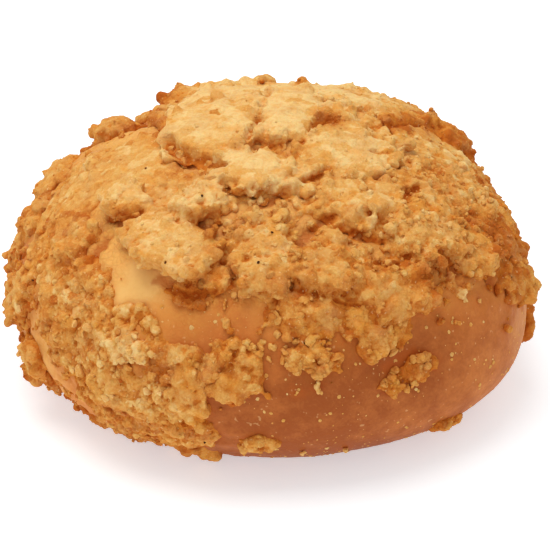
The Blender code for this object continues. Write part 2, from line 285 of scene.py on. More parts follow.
calmZones = {  # azimuth, rise, spread in degrees, how much smoother
    "upperLeft": (-170, 43, 19, 0.85),
    "leftShoulder": (-155, 40, 9, 0.4),
    "crownLeft": (175, 68, 12, 0.4),
    "crownRight": (-38, 66, 12, 0.4),
    "crownFar": (80, 72, 22, 0.4),
    "rightShoulder": (-4, 36, 16, 0.45),
    "fold": (-76, 22, 9, 0.35),
    "rightFlank": (-8, 9, 11, 0.6),
}


calmest = 0.85


def calmAt(ways):
    return np.clip(withMounds(0, ways, calmZones), 0, calmest)


def toastAndShadeAt(ways):
    return withMounds(0, ways, toastsAndShades)


# Meshes from many copies


def ballShape(subdivisions):
    bm = bmesh.new()
    bmesh.ops.create_icosphere(bm, subdivisions=subdivisions, radius=1.0)
    verts = np.array([v.co[:] for v in bm.verts])
    faces = np.array([[v.index for v in f.verts] for f in bm.faces])
    bm.free()
    return unit(verts), faces


def meshOf(name, verts, faces):
    mesh = bpy.data.meshes.new(name)
    mesh.vertices.add(len(verts))
    mesh.vertices.foreach_set("co", verts.astype(np.float32).ravel())
    mesh.loops.add(faces.size)
    mesh.loops.foreach_set("vertex_index", faces.astype(np.int32).ravel())
    mesh.polygons.add(len(faces))
    mesh.polygons.foreach_set("loop_start", np.arange(0, faces.size, faces.shape[1], dtype=np.int32))
    mesh.update(calc_edges=True)
    mesh.validate()
    return mesh


class Heap:
    # many closed bodies gathered for one mesh
    def __init__(self):
        self.verts, self.faces, self.count = [], [], 0

    def add(self, verts, faces):
        self.verts.append(verts)
        self.faces.append(faces + self.count)
        self.count += len(verts)

    def mesh(self, name):
        return meshOf(name, np.concatenate(self.verts), np.concatenate(self.faces))


def randomTurns(draw, count):
    q = unit(draw.normal(size=(count, 4)))
    w, x, y, z = q[:, 0], q[:, 1], q[:, 2], q[:, 3]
    rows = [
        [1 - 2 * (y * y + z * z), 2 * (x * y - z * w), 2 * (x * z + y * w)],
        [2 * (x * y + z * w), 1 - 2 * (x * x + z * z), 2 * (y * z - x * w)],
        [2 * (x * z - y * w), 2 * (y * z + x * w), 1 - 2 * (x * x + y * y)],
    ]
    return np.moveaxis(np.array(rows), 2, 0)


grainShape = {"broken": 5, "facetDepth": (0.6, 0.98), "thin": (0.75, 1.2)}
grainBall = {"size": 1.1, "lowest": 0.25}  # before it is broken, and how near the floor a grain comes


def grains(draw, centres, radii, subdivisions, broken=grainShape["broken"], shape=grainShape):
    # each grain is a ball broken flat on several sides, with its own squash and turn
    ball, faces = ballShape(subdivisions)
    count = len(centres)
    verts = np.repeat(ball[None], count, axis=0) * grainBall["size"]
    for n in range(broken):
        side = unit(draw.normal(size=(count, 3)))
        beyond = np.einsum("nkj,nj->nk", verts, side) - draw.uniform(*shape["facetDepth"], size=(count, 1))
        verts = verts - np.maximum(beyond, 0)[:, :, None] * side[:, None, :]
    verts = verts * draw.uniform(*shape["thin"], size=(count, 1, 3))
    verts = np.einsum("nij,nkj->nki", randomTurns(draw, count), verts)
    verts = verts * radii[:, None, None] + centres[:, None, :]
    allFaces = faces[None] + (np.arange(count) * len(ball))[:, None, None]
    verts[:, :, 2] = np.maximum(verts[:, :, 2], grainBall["lowest"])
    return verts.reshape(-1, 3), allFaces.reshape(-1, 3)


# The crust's plates and clumps
# Each is an azimuth, rise, length, width, height, turn of the length from east, how far its downhill rim
# stands off, and how pale it baked.

plates = {
    "crownLeft": (-178, 66.5, 18.5, 26, 3.6, 80, 1.2, 0.65),
    "crownMiddle": (84, 80, 17, 27, 3.4, -6, 0.4, 0.82),
    "crownFront": (-110, 61, 19, 13, 3.4, -11, 1.8, 0.76),
    "crownRight": (-34, 65, 23, 18, 2.8, -43, 0.6, 0.7),
    "crownBack": (66, 52, 31, 22, 2.4, 8, 0.4, 0.92),
    "crownBackLeft": (124, 58, 27, 20, 2.6, 15, 0.6, 0.85),
    "crownInnerRight": (16, 74, 19, 16, 2.6, 30, 0.4, 0.64),
    "backRidge": (38, 42, 24, 18, 2.2, -30, 0.4, 0.55),
    "rightShoulder": (5, 42, 22, 18, 1.6, -62, 0.4, 0.68),
    "step": (-54, 49, 18, 14, 2.6, -36, 1.2, 0.6),
    "crownRimBack": (114, 42, 26, 9, 3.0, 0, 0.2, 0.55),
}
sheets = {  # thin, gently lumpy crust
    "upperLeft": (-168, 44, 24, 18, 1.0, 10, 0.2, 0.62),
    "betweenLeft": (-142, 46, 16, 12, 0.8, 0, 0.1, 0.66),
    "leftShoulder": (-170, 30, 24, 20, 0.9, -87, 0.3, 0.52),
    "leftFlank": (177, 11, 15, 18, 1.3, -24, 0.5, 0.42),
    "leftLower": (-158, 22, 16, 12, 1.2, 20, 0.3, 0.36),
    "orangePatch": (-56, 26, 9, 6, 1.2, -10, 0.2, 0.3),
}
films = {  # thin crust that runs out smoothly into the bread
    "foldPatch": (-81, 21.5, 18, 10, 1.3, -14, 0.1, 0.36),
    "foldRight": (-66, 22, 18, 11, 1.2, -12, 0.1, 0.35),
    "rightFlank": (-7, 11, 18, 16, 1.0, 80, 0.1, 0.5),
    "underHanging": (-63, 15, 12, 9, 0.7, 0, 0.1, 0.4),
    "bandFilm": (-134, 6, 24, 16, 0.7, 10, 0.1, 0.36),
    "bandFilmLow": (-116, 1, 22, 14, 0.6, 4, 0.1, 0.34),
}
slabs = {
    "frontBig": (-122, 33.5, 21, 12.5, 4.2, -8, 2.6, 0.5),
    "midLeft": (-134, 36, 11, 7, 2.0, -9, 0.5, 0.58),
}
clumps = {
    "leftMid": (-148, 37.5, 9, 8, 4.8, 29, 0.6, 0.66),
    "heart": (-122, 47, 10, 9.5, 4.8, 2, 1.0, 0.72),
    "leftShelf": (-150, 25, 9, 6, 3.0, 80, 0.8, 0.42),
    "centre": (-93, 35, 19, 13, 3.6, -82, 1.4, 0.42),
    "centreRight": (-77, 31, 15, 9, 3.6, -18, 1.8, 0.34),
    "rightFront": (-59, 24, 16, 11, 2.8, -27, 0.8, 0.34),
    "ledgeMiddle": (-44, 32, 16, 12, 3.4, -33, 1.8, 0.45),
    "ledgeRight": (-33, 24, 15, 11, 3.4, -32, 1.8, 0.38),
    "ledgeEnd": (-21, 13, 15, 12, 1.8, -33, 1.2, 0.34),
    "shoulderLow": (-14, 33, 13, 15, 2.2, -72, 0.4, 0.55),
    "shoulderEnd": (-9, 23, 14, 13, 1.4, 64, 0.5, 0.4),
    "shoulderHigh": (-32, 41, 12, 12, 2.4, -59, 0.6, 0.5),
    "skyline": (146.5, 29.5, 11, 10.5, 4.9, -85, 0.6, 0.42),
    "rightEdge": (-11, -3, 8, 3.6, 1.6, 80, 0.3, 0.18),
    "crownRimTop": (126, 38, 8, 7, 4.5, -30, 0.2, 0.35),
    "crownRimLeft": (149.5, 47.5, 18, 3.6, 2.0, 36, 0.2, 0.35),
    "skyRidge": (29, 28, 16, 9, 4.2, 60, 0.3, 0.38),
    "skylineSmall": (161, 20, 7, 6, 2.8, -40, 0.8, 0.3),
    "leftEdge": (-160, 6.5, 11, 7, 3.2, 75, 0.6, 0.35),
    "leftLow": (-152, -5, 10, 6.5, 3.4, 80, 0.5, 0.2),
    "round": (-106, 2, 6, 6, 2.2, -13, 0.4, 0.5),
}
heapedCrumbs = {  # clumps of loose chunks baked together
    "smallFront": (-85, 23, 6, 5, 2.0, -7, 0.4, 0.4),
    "ring": (-81, 13, 11, 5, 0.9, -12, 0.3, 0.4),
    "lowRight": (-59, 5, 13, 4, 0.9, 12, 0.4, 0.2),
    "underLedge": (-112, 24, 8, 3.5, 1.6, -5, 0.4, 0.1),
    "hanging": (-66, 15, 9, 6, 1.6, 83, 0.4, 0.4),
    "hangingSide": (-70, 19, 8, 6, 1.8, 20, 0.4, 0.35),
    "bandTopLeft": (-156, 18, 16, 8, 1.6, 17, 0.4, 0.5),
    "bandTop": (-140, 16, 18, 10, 2.2, 17, 0.6, 0.6),
    "bandLeft": (-130, 5, 15, 8, 1.4, 6, 0.3, 0.56),
    "bandMiddle": (-122, 14, 15, 11, 2.8, 5, 0.8, 0.64),
    "bandLow": (-113, 1, 20, 8, 1.4, 2, 0.3, 0.46),
    "bandRight": (-98, 11, 13, 10, 1.8, 9, 0.5, 0.34),
    "baseLeft": (-127, -9, 12, 7, 1.8, 14, 0.2, 0.24),
    "baseFront": (-111, -8, 18, 7, 1.2, 5, 0.2, 0.28),
    "baseSmall": (-92, -8, 7, 4, 1.0, 13, 0.2, 0.4),
    "baseRight": (-45, -13, 8, 4, 1.6, 0, 0.2, 0.15),
}
singleCrumbs = {  # azimuth, rise, size, how pale
    "underFront": (-102, 24, 1.7, 0.5),
    "besideIt": (-99, 25, 1.2, 0.6),
    "yellowRight": (-42, 17, 2.6, 1.0),
    "yellowFarRight": (-38, 14, 1.6, 0.9),
    "orangeRight": (-46, 12, 2.4, 0.3),
    "orangeFarRight": (-31, 5, 2.6, 0.3),
    "paleLow": (-80, 7, 2.2, 0.85),
    "paleLowLeft": (-84, 6, 1.2, 0.85),
    "hangingA": (-66, 12, 2.6, 0.5),
    "hangingB": (-68, 12, 2.2, 0.6),
    "hangingC": (-63, 13, 2.2, 0.5),
    "baseA": (-82, -12, 1.6, 0.8),
    "baseB": (-72, -13, 1.8, 0.7),
}
roundCrumbs = {  # azimuth, rise, size, how pale
    "crownLeft": (170, 68, 3.0, 0.05),
    "skyline": (98, 46, 3.2, 0.2),
    "far": (80, 47, 3.0, 0.1),
}

lumpShape = {
    "root": 1.8,  # how deep it is sunk
    "ragged": 0.34,
    "waves": ((2.1, 1.0), (5.3, 0.6), (11.0, 0.25)),  # of its outline, and how much each counts
    "crags": 0.5,
    "cragScale": 0.31,
    "cragsFrom": (-0.3, 0.2),
    "rimAt": (0.82, 1.04),  # shares of its reach, for the nodules
    "rimUp": (0.05, 0.95),
    "rimTone": -0.12,
    "topOut": 0.85,
    "topTone": 0.05,
    "toneSpread": 0.25,
    "apart": (3.7, 1.9, 5.3),  # in the noise, from one lump to the next
}
# how boxy, millimetres between rim nodules and between top ones, their radii, how proud the top ones stand,
# the core's share of the height, how crumbled it is, and how thin it runs out at its rim
lumpTraits = ("boxy", "rimEvery", "topEvery", "rim", "top", "stand", "core", "rough", "lens")
lumpKinds = {
    "plate": (3.6, 0.9, 2.4, (0.6, 1.5), (0.7, 1.6), -0.83, 1, 0.3, 1.0),
    "sheet": (3.0, 1.5, 1.5, (0.6, 1.2), (0.7, 1.7), -0.66, 1, 0.45, 1.0),
    "film": (2.0, 3.0, 2.8, (0.5, 0.9), (0.6, 1.6), -0.75, 1, 0.25, 2.0),
    "slab": (3.2, 0.7, 2.0, (0.6, 1.5), (0.7, 1.6), -0.6, 1, 0.45, 1.0),
    "clump": (2.3, 1.0, 1.6, (0.7, 1.6), (0.8, 2.0), -0.5, 0.9, 0.6, 1.0),
    "heaped": (2.2, 1.3, 1.6, (0.6, 1.5), (0.7, 2.0), 0.1, 0.15, 1, 1.0),
}


def outlineAt(cosine, sine, away):
    # how far a lump reaches each way, as a share of its size; the frame's solids use the same slow part
    total = np.zeros(len(cosine))
    rim = np.stack([cosine, sine, np.zeros(len(cosine))], axis=1)
    for waves, share in lumpShape["waves"]:
        total += share * noiseAt(rim, waves, away)
    return 1 + lumpShape["ragged"] * total


def layOn(centre, turn, x, y):
    # ways to points x along and y across a lump's middle
    way = wayTo(*centre)[None]
    _, east, uphill, _ = skinFrames(way)
    reach = np.linalg.norm(skinAt(way)[0] - np.array([0, 0, breadForm["belly"]]))
    c, s = math.cos(math.radians(turn)), math.sin(math.radians(turn))
    return unit(way * reach + np.outer(x * c - y * s, east[0]) + np.outer(x * s + y * c, uphill[0]))


def sizeOf(draw, between):
    # small ones are the most common
    return between[0] + (between[1] - between[0]) * draw.random() ** 1.5


def liftAt(across, width, lift):
    return lift * smoothStep(0.0, 1.0, -across / width * 2)


cutFloor = {"height": 0.35, "uneven": 0.35, "scale": 1.1, "pressed": 0.9, "lowest": 0.3}


def cutOpen(verts):
    # pressed down to a rough floor where a cut runs
    ways, over = waysOf(verts)
    share, deepest = cutShare(ways, verts)
    uneven = cutFloor["uneven"] * noiseAt(verts, cutFloor["scale"], noiseShifts["cutFloor"])
    stands = np.maximum(over - (cutFloor["height"] + uneven), 0)
    verts = verts - ways * (np.minimum(stands * cutFloor["pressed"], deepest) * share)[:, None]
    verts[:, 2] = np.maximum(verts[:, 2], cutFloor["lowest"])
    return verts


def buildLump(heap, dots, draw, place, seed, kindName, detail):
    azimuth, rise, length, width, height, turn, lift, pale = place
    kind, shape = dict(zip(lumpTraits, lumpKinds[kindName])), lumpShape
    boxy, lens = kind["boxy"], kind["lens"]
    away = tuple(seed * step for step in shape["apart"])
    c, s = math.cos(math.radians(turn)), math.sin(math.radians(turn))

    def settle(x, y):
        # the skin under places on the lump, the way outward, and how far the rim lifts there
        here, _, _, outward = skinFrames(layOn((azimuth, rise), turn, x, y))
        return here, outward, liftAt(x * s + y * c, width, lift)

    ball, faces = ballShape(detail)
    flat = np.maximum(np.hypot(ball[:, 0], ball[:, 1]), 1e-6)
    pressed = (flat**boxy + np.abs(ball[:, 2]) ** boxy) ** (-1 / boxy)
    outline = outlineAt(ball[:, 0], ball[:, 1], away)
    x = ball[:, 0] * length * 0.5 * pressed * outline
    y = ball[:, 1] * width * 0.5 * pressed * outline
    here, outward, lifted = settle(x, y)
    top = np.where(ball[:, 2] > 0, height * kind["core"], shape["root"])
    crags = shape["crags"] * noiseAt(here, shape["cragScale"], away)
    crags = crags * smoothStep(*shape["cragsFrom"], ball[:, 2])
    raised = np.sign(ball[:, 2]) * np.abs(ball[:, 2]) ** lens
    off = raised * pressed * top + crags + lifted
    heap.add(cutOpen(here + outward * off[:, None]), faces)
    # nodules round the rim and over the top
    spots = []
    for n in range(int(math.pi * (length + width) / 2 / kind["rimEvery"])):
        angle, radius = draw.uniform(0, 2 * math.pi), sizeOf(draw, kind["rim"])
        up = draw.uniform(*shape["rimUp"]) * height * kind["core"]
        out = draw.uniform(*shape["rimAt"])
        spots.append((math.cos(angle), math.sin(angle), out, up, radius, shape["rimTone"]))
    for n in range(int(math.pi * length * width / 4 / kind["topEvery"] ** 2)):
        angle, radius = draw.uniform(0, 2 * math.pi), sizeOf(draw, kind["top"])
        out = math.sqrt(draw.uniform(0, shape["topOut"]))
        up = height * kind["core"] * (1 - out**boxy) ** (lens / boxy) + kind["stand"] * radius
        spots.append((math.cos(angle), math.sin(angle), out, up, radius, shape["topTone"]))
    spots = np.array(spots)
    outline = outlineAt(spots[:, 0], spots[:, 1], away)
    x = spots[:, 0] * spots[:, 2] * outline * length * 0.5
    y = spots[:, 1] * spots[:, 2] * outline * width * 0.5
    here, outward, lifted = settle(x, y)
    centres = here + outward * (spots[:, 3] + lifted)[:, None]
    verts, faces = grains(draw, centres, spots[:, 4], 2)
    heap.add(cutOpen(verts), faces)
    spread = shape["toneSpread"]
    tones = pale + spots[:, 5] + draw.uniform(-spread, spread, size=len(centres))
    dots.extend((where, tone, kind["rough"]) for where, tone in zip(centres.tolist(), tones.tolist()))


# Smaller clumps and the fine crumbs between, spread over the crusted part

scatter = {
    "clumps": 210,
    "clumpSize": (2.8, 7.5),
    "clumpWidth": (0.6, 1),  # of its length
    "clumpHeight": (0.8, 0.25),  # and how much more a millimetre of length gives
    "clumpLift": 0.4,
    "clumpsFrom": (-0.4, 0.93),  # the sine of the rise
    "ground": 5000,
    "groundRadius": (0.45, 1.3),
    "groundFrom": (-0.42, 0.99),
    "groundSunk": (-0.3, 0.5),  # of its radius
    "groundTone": (-0.3, 0.3),
    "groundRough": 0.8,
    "density": 0.5,
    "least": 0.02,
    "zones": {  # azimuth, rise, spread, how much denser
        "crown": (90, 85, 30, -0.35),
        "upperLeft": (-166, 42, 24, -0.65),
        "besideShelf": (-142, 28, 6, -0.6),
        "leftTan": (-146, 0, 7, -1.0),
        "leftTanLow": (-134, -9, 6, -0.9),
        "betweenLeftClumps": (-136, 43, 13, -0.9),
        "paleBulge": (-122, 24, 9, -0.5),
        "underLedge": (-112, 20, 6, -1.0),
        "rightShoulder": (-20, 30, 26, 0.6),
        "rightMiddle": (-55, 38, 14, 0.3),
        "lowerLeft": (-130, 4, 26, 0.55),
        "underRightLedge": (-38, 10, 12, -1.0),
        "lowerRight": (-20, -10, 14, -1.0),
        "rightFlank": (-6, 7, 12, -0.7),
        "back": (90, 10, 40, -0.15),
        "skylineNotch": (143, 36, 11, -1.0),
        "baseFront": (-98, -11, 12, -1.0),
    },
    "halo": 0.16,  # how dense just outside the crust
    "haloFrom": (-22, 4),
}


def densityAt(ways):
    azimuth, rise = anglesOf(ways)
    halo = scatter["halo"] * smoothStep(*scatter["haloFrom"], rise - edgeAt(azimuth))
    dense = withMounds(scatter["density"], ways, scatter["zones"])
    return np.clip(dense, scatter["least"], 1) * np.maximum(crustedAt(ways), halo)


def randomWays(draw, count, lowest, highest):
    # spread evenly between two heights on the unit ball
    z = draw.uniform(lowest, highest, size=count)
    a = draw.uniform(-math.pi, math.pi, size=count)
    r = np.sqrt(1 - z * z)
    return np.stack([r * np.cos(a), r * np.sin(a), z], axis=1)


paleness = {
    "low": 0.25,
    "high": 0.6,
    "climb": (5, 60),  # the rises between which it gets paler
    "spots": {"frontLeft": (-130, 25, 30, 0.15), "right": (0, 25, 30, -0.1)},
    # painted shade at the foot, near the floor
    "foot": 0.15,
    "footFrom": (0, -14),
}


def paleAt(ways):
    # how pale the crust baked: palest on the crown, brownest low down and at the right, with painted shade at
    # the foot
    _, rise = anglesOf(ways)
    pale = paleness["low"] + paleness["high"] * smoothStep(*paleness["climb"], rise)
    pale = withMounds(pale, ways, paleness["spots"])
    return pale - paleness["foot"] * smoothStep(*paleness["footFrom"], rise)


crustParts = {  # and their voxels
    "crown": 0.38,
    "frontLeft": 0.38,
    "frontRight": 0.38,
    "backRight": 0.5,
    "backLeft": 0.5,
}
sectorEdges = {"crown": 54, "left": -98, "right": -8, "back": 86}  # a rise, then azimuths


def sectorOf(azimuth, rise):
    if rise > sectorEdges["crown"]:
        return "crown"
    if azimuth < sectorEdges["left"]:
        return "frontLeft"
    if azimuth < sectorEdges["right"]:
        return "frontRight"
    return "backRight" if azimuth < sectorEdges["back"] else "backLeft"


lumpsByKind = {
    "plate": plates,
    "sheet": sheets,
    "film": films,
    "slab": slabs,
    "clump": clumps,
    "heaped": heapedCrumbs,
}
crumbShape = {
    "pieces": 4,
    "radius": (0.22, 0.42),  # of the crumb's size, as the next two
    "spread": 0.2,
    "raised": 0.15,
    "lift": 0.3,
    "crownLift": 2.4,  # where it lies on a plate
    "crownFrom": 40,
}


def addNamedLumps(draw, heaps, dots):
    named = [(kind, place) for kind, places in lumpsByKind.items() for place in places.values()]
    for seed, (kind, place) in enumerate(named, 1):
        part = sectorOf(*place[:2])
        buildLump(heaps[part], dots[part], draw, place, seed, kind, 5 if kind == "plate" else 4)


def addNamedCrumbs(draw, heaps, dots):
    shape = crumbShape
    named = [(place, False) for place in singleCrumbs.values()]
    named += [(place, True) for place in roundCrumbs.values()]
    for (azimuth, rise, size, pale), isRound in named:
        here, east, uphill, outward = skinFrames(wayTo(azimuth, rise)[None])
        part = sectorOf(azimuth, rise)
        count, spread = (1, 0) if isRound else (shape["pieces"], size * shape["spread"])
        off = draw.normal(size=(count, 2)) * spread
        lift = shape["crownLift"] if rise > shape["crownFrom"] else shape["lift"]
        centres = here + outward * (lift + size * shape["raised"]) + off[:, :1] * east + off[:, 1:] * uphill
        if isRound:
            ball, faces = ballShape(3)
            heaps[part].add(ball * size / 2 + centres, faces)
        else:
            radii = size * draw.uniform(*shape["radius"], size=count)
            heaps[part].add(*grains(draw, centres, radii, 2))
        dots[part].extend((where, pale, 1) for where in centres.tolist())


def scattered(draw, count, spare, between):
    # that many ways at most, more of them where the crumbs lie denser
    ways = randomWays(draw, count * spare, *between)
    return ways[draw.random(len(ways)) < densityAt(ways)][:count]


def addSmallClumps(draw, heaps, dots):
    ways = scattered(draw, scatter["clumps"], 6, scatter["clumpsFrom"])
    azimuth, rise = anglesOf(ways)
    pale = paleAt(ways)
    base, more = scatter["clumpHeight"]
    for n in range(len(ways)):
        length = draw.uniform(*scatter["clumpSize"])
        flatter = 0.45 if abs(azimuth[n]) < 25 else 0.7 if abs(azimuth[n]) < 40 or rise[n] < 0 else 1
        width, turn = length * draw.uniform(*scatter["clumpWidth"]), draw.uniform(-90, 90)
        height = (base + more * length) * flatter
        place = (azimuth[n], rise[n], length, width, height, turn, scatter["clumpLift"], pale[n])
        part = sectorOf(azimuth[n], rise[n])
        buildLump(heaps[part], dots[part], draw, place, n + 101, "heaped" if n % 2 else "clump", 3)


def addGround(draw, heaps, dots):
    # the fine crumbs between
    ways = scattered(draw, scatter["ground"], 4, scatter["groundFrom"])
    azimuth, rise = anglesOf(ways)
    here, _, _, outward = skinFrames(ways)
    radii = scatter["groundRadius"][0] + np.diff(scatter["groundRadius"]) * draw.random(len(ways)) ** 1.8
    up = 0.3 + radii * draw.uniform(*scatter["groundSunk"], size=len(ways))
    centres = here + outward * up[:, None]
    tones = paleAt(ways) - 0.15 + draw.uniform(*scatter["groundTone"], size=len(ways))
    parts = np.array([sectorOf(a, r) for a, r in zip(azimuth, rise)])
    for name in crustParts:
        chosen = parts == name
        verts, faces = grains(draw, centres[chosen], radii[chosen], 2)
        heaps[name].add(cutOpen(verts), faces)
        places = zip(centres[chosen].tolist(), tones[chosen].tolist())
        dots[name].extend((where, tone, scatter["groundRough"]) for where, tone in places)


def gatherCrust():
    draw = np.random.default_rng(11)
    heaps = {name: Heap() for name in crustParts}
    dots = {name: [] for name in crustParts}
    for add in (addNamedLumps, addNamedCrumbs, addSmallClumps, addGround):
        add(draw, heaps, dots)
    return heaps, dots


def linked(name, data):
    # a new object in the scene
    made = bpy.data.objects.new(name, data)
    bpy.context.scene.collection.objects.link(made)
    return made


def meshFrom(bm, name):
    mesh = bpy.data.meshes.new(name)
    bm.to_mesh(mesh)
    bm.free()
    return mesh


def applied(mesh, kind, **settings):
    # the mesh after one modifier
    carrier = linked("carrier", mesh)
    modifier = carrier.modifiers.new(kind.lower(), kind)
    for name, value in settings.items():
        setattr(modifier, name, value)
    result = bpy.data.meshes.new_from_object(carrier.evaluated_get(bpy.context.evaluated_depsgraph_get()))
    bpy.data.objects.remove(carrier)
    bpy.data.meshes.remove(mesh)
    return result


def coordinates(mesh, what="co"):
    rows = np.empty(len(mesh.vertices) * 3, np.float32)
    mesh.vertices.foreach_get(what, rows)
    return rows.reshape(-1, 3).astype(float)


def setCoordinates(mesh, rows):
    mesh.vertices.foreach_set("co", rows.astype(np.float32).ravel())
    mesh.update()


def setAttribute(mesh, name, values):
    layer = mesh.attributes.new(name, "FLOAT", "POINT")
    layer.data.foreach_set("value", np.asarray(values, np.float32))


def hollowness(mesh, passes):
    # how far each point lies inside the smoothed surface: more in crevices, less on peaks
    smooth = applied(mesh.copy(), "SMOOTH", factor=0.5, iterations=passes)
    inside = np.sum((coordinates(smooth) - coordinates(mesh)) * coordinates(mesh, "normal"), axis=1)
    bpy.data.meshes.remove(smooth)
    return inside


def placesOn(piece):
    # a finished piece's points in millimetres, and their normals
    return coordinates(piece.data) * 1000, coordinates(piece.data, "normal")


def toObject(name, mesh, material, sharpFrom=None):
    setCoordinates(mesh, coordinates(mesh) * 0.001)
    mesh.name = name
    mesh.shade_smooth()
    if sharpFrom:
        mesh.set_sharp_from_angle(angle=math.radians(sharpFrom))
    mesh.materials.clear()
    mesh.materials.append(material)
    made = linked(name, mesh)
    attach(made, "root")
    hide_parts("soboro_bun")
    return made


# Materials


def paint(r, g, b):
    # a colour as seen, 0 to 255, as the shader wants it
    shares = (c / 255 for c in (r, g, b))
    return (*(((c + 0.055) / 1.055) ** 2.4 for c in shares), 1.0)


class Wire:
    # a value in a material's nodes that adds and multiplies like a number
    def __init__(self, tree, socket=None):
        self.tree, self.socket = tree, socket

    def node(self, kind, settings, values, out=0):
        made = self.tree.nodes.new(kind)
        for name, value in settings.items():
            if name == "stops":
                ramp = made.color_ramp
                while len(ramp.elements) < len(value):
                    ramp.elements.new(0.5)
                for element, (position, colour) in zip(ramp.elements, value):
                    element.position, element.color = position, colour
            else:
                setattr(made, name, value)
        for name, value in values.items():
            if isinstance(value, Wire):
                self.tree.links.new(value.socket, made.inputs[name])
            else:
                made.inputs[name].default_value = value
        return Wire(self.tree, made.outputs[out])

    def maths(self, operation, *values):
        return self.node("ShaderNodeMath", {"operation": operation}, dict(enumerate(values)))

    def __add__(self, other):
        return self.maths("ADD", self, other)

    def __sub__(self, other):
        return self.maths("SUBTRACT", self, other)

    def __rsub__(self, other):
        return self.maths("SUBTRACT", other, self)

    def __mul__(self, other):
        return self.maths("MULTIPLY", self, other)

    __radd__, __rmul__ = __add__, __mul__

    def clamped(self):
        return self.node("ShaderNodeClamp", {}, {"Value": self})

    def between(self, low, high):
        return self.node("ShaderNodeMapRange", {}, {"Value": self, "From Min": low, "From Max": high})


def newMaterial(name):
    material = bpy.data.materials.new(name)
    material.use_nodes = True
    tree = material.node_tree
    return material, Wire(tree), tree.nodes["Principled BSDF"]


def mixed(wire, factor, first, second):
    return wire.node("ShaderNodeMix", {"data_type": "RGBA"}, {0: factor, 6: first, 7: second}, 2)


def noiseTex(wire, where, scale, detail, roughness=0.55):
    values = {"Vector": where, "Scale": scale, "Detail": detail, "Roughness": roughness}
    return wire.node("ShaderNodeTexNoise", {}, values)


def attribute(wire, name):
    return wire.node("ShaderNodeAttribute", {"attribute_name": name}, {}, "Fac")


def patchy(wire, where, body, colour, scale, detail, start, end, share):
    # the body with patches of another colour
    patches = noiseTex(wire, where, scale, detail).between(start, end) * share
    return mixed(wire, patches, body, colour)


def seams(wire, where, scale, soft):
    # 1 on the seams between cells, 0 inside them
    settings = {"feature": "DISTANCE_TO_EDGE"}
    edge = wire.node("ShaderNodeTexVoronoi", settings, {"Vector": where, "Scale": scale})
    return 1 - edge.between(0.0, soft)


def bent(wire, where, scale, much):
    # coordinates stirred a little, so that cells aren't straight-edged
    stir = wire.node("ShaderNodeTexNoise", {}, {"Vector": where, "Scale": scale, "Detail": 2.0}, "Color")
    stir = wire.node("ShaderNodeVectorMath", {"operation": "SUBTRACT"}, {0: stir, 1: (0.5, 0.5, 0.5)})
    stir = wire.node("ShaderNodeVectorMath", {"operation": "SCALE"}, {0: stir, "Scale": much})
    return wire.node("ShaderNodeVectorMath", {"operation": "ADD"}, {0: where, 1: stir})


def finish(shader, wire, look, colour, roughness, height):
    settings = {"Strength": 1.0, "Distance": look["bump"], "Height": height}
    normal = wire.node("ShaderNodeBump", {}, settings)
    wire.tree.links.new(colour.socket, shader.inputs["Base Color"])
    wire.tree.links.new(roughness.socket, shader.inputs["Roughness"])
    wire.tree.links.new(normal.socket, shader.inputs["Normal"])
    shader.inputs["Specular IOR Level"].default_value = look["gloss"]
    shader.inputs["Subsurface Weight"].default_value = look["softness"]
    shader.inputs["Subsurface Radius"].default_value = look["softRadius"]
    shader.inputs["Subsurface Scale"].default_value = look["softReach"]


crustLook = {
    "palest": paint(241, 204, 136),
    "pale": paint(231, 179, 101),
    "golden": paint(223, 154, 75),
    "toasted": paint(190, 102, 38),
    "butter": paint(232, 152, 52),
    "tan": paint(216, 160, 95),
    # painted shade in the crust's hollows, with some deeper toasting there
    "shallow": paint(218, 128, 42),
    "crevice": paint(172, 77, 18),
    "seam": paint(188, 100, 30),
    "seamPale": paint(220, 146, 58),
    "burnt": paint(70, 40, 24),
    "fleck": paint(250, 220, 160),
    "stops": (0.0, 0.36, 0.72, 1.0),
    "slow": (110.0, 3.0),  # noise: cells to a metre, detail, roughness
    "mid": (480.0, 3.0),
    "grain": (900.0, 2.0),
    "fine": (1900.0, 3.0, 0.7),
    "butterPatches": (230.0, 2.0, 0.5, 0.7, 0.5),  # cells to a metre, detail, from and to, share
    "tanPatches": (190.0, 3.0, 0.5, 0.64, 0.45),
    "fleckPatches": (1500.0, 1.0, 0.68, 0.74, 0.4),
    "stir": (900.0, 0.0009),
    "coarseSeams": (620.0, 0.16),
    "smallSeams": (1400.0, 0.16),
    "blotches": 0.8,
    "lively": (0.45, 0.65),  # where it is smooth, and how much more where it is crumbled
    "speckle": (0.5, 0.2),
    "gapShade": 0.75,
    "seamShade": (0.5, 0.25),
    "pitShade": (0.5, 0.3, 0.4),
    "bumps": {"fine": 1.9, "mid": 0.8, "grain": 3.6, "coarse": 0.4, "small": 0.2},
    "bump": 0.00016,
    "matt": 0.85,
    "gloss": 0.05,
    "softness": 0.12,
    "softRadius": (1.0, 0.45, 0.16),
    "softReach": 0.0014,
}


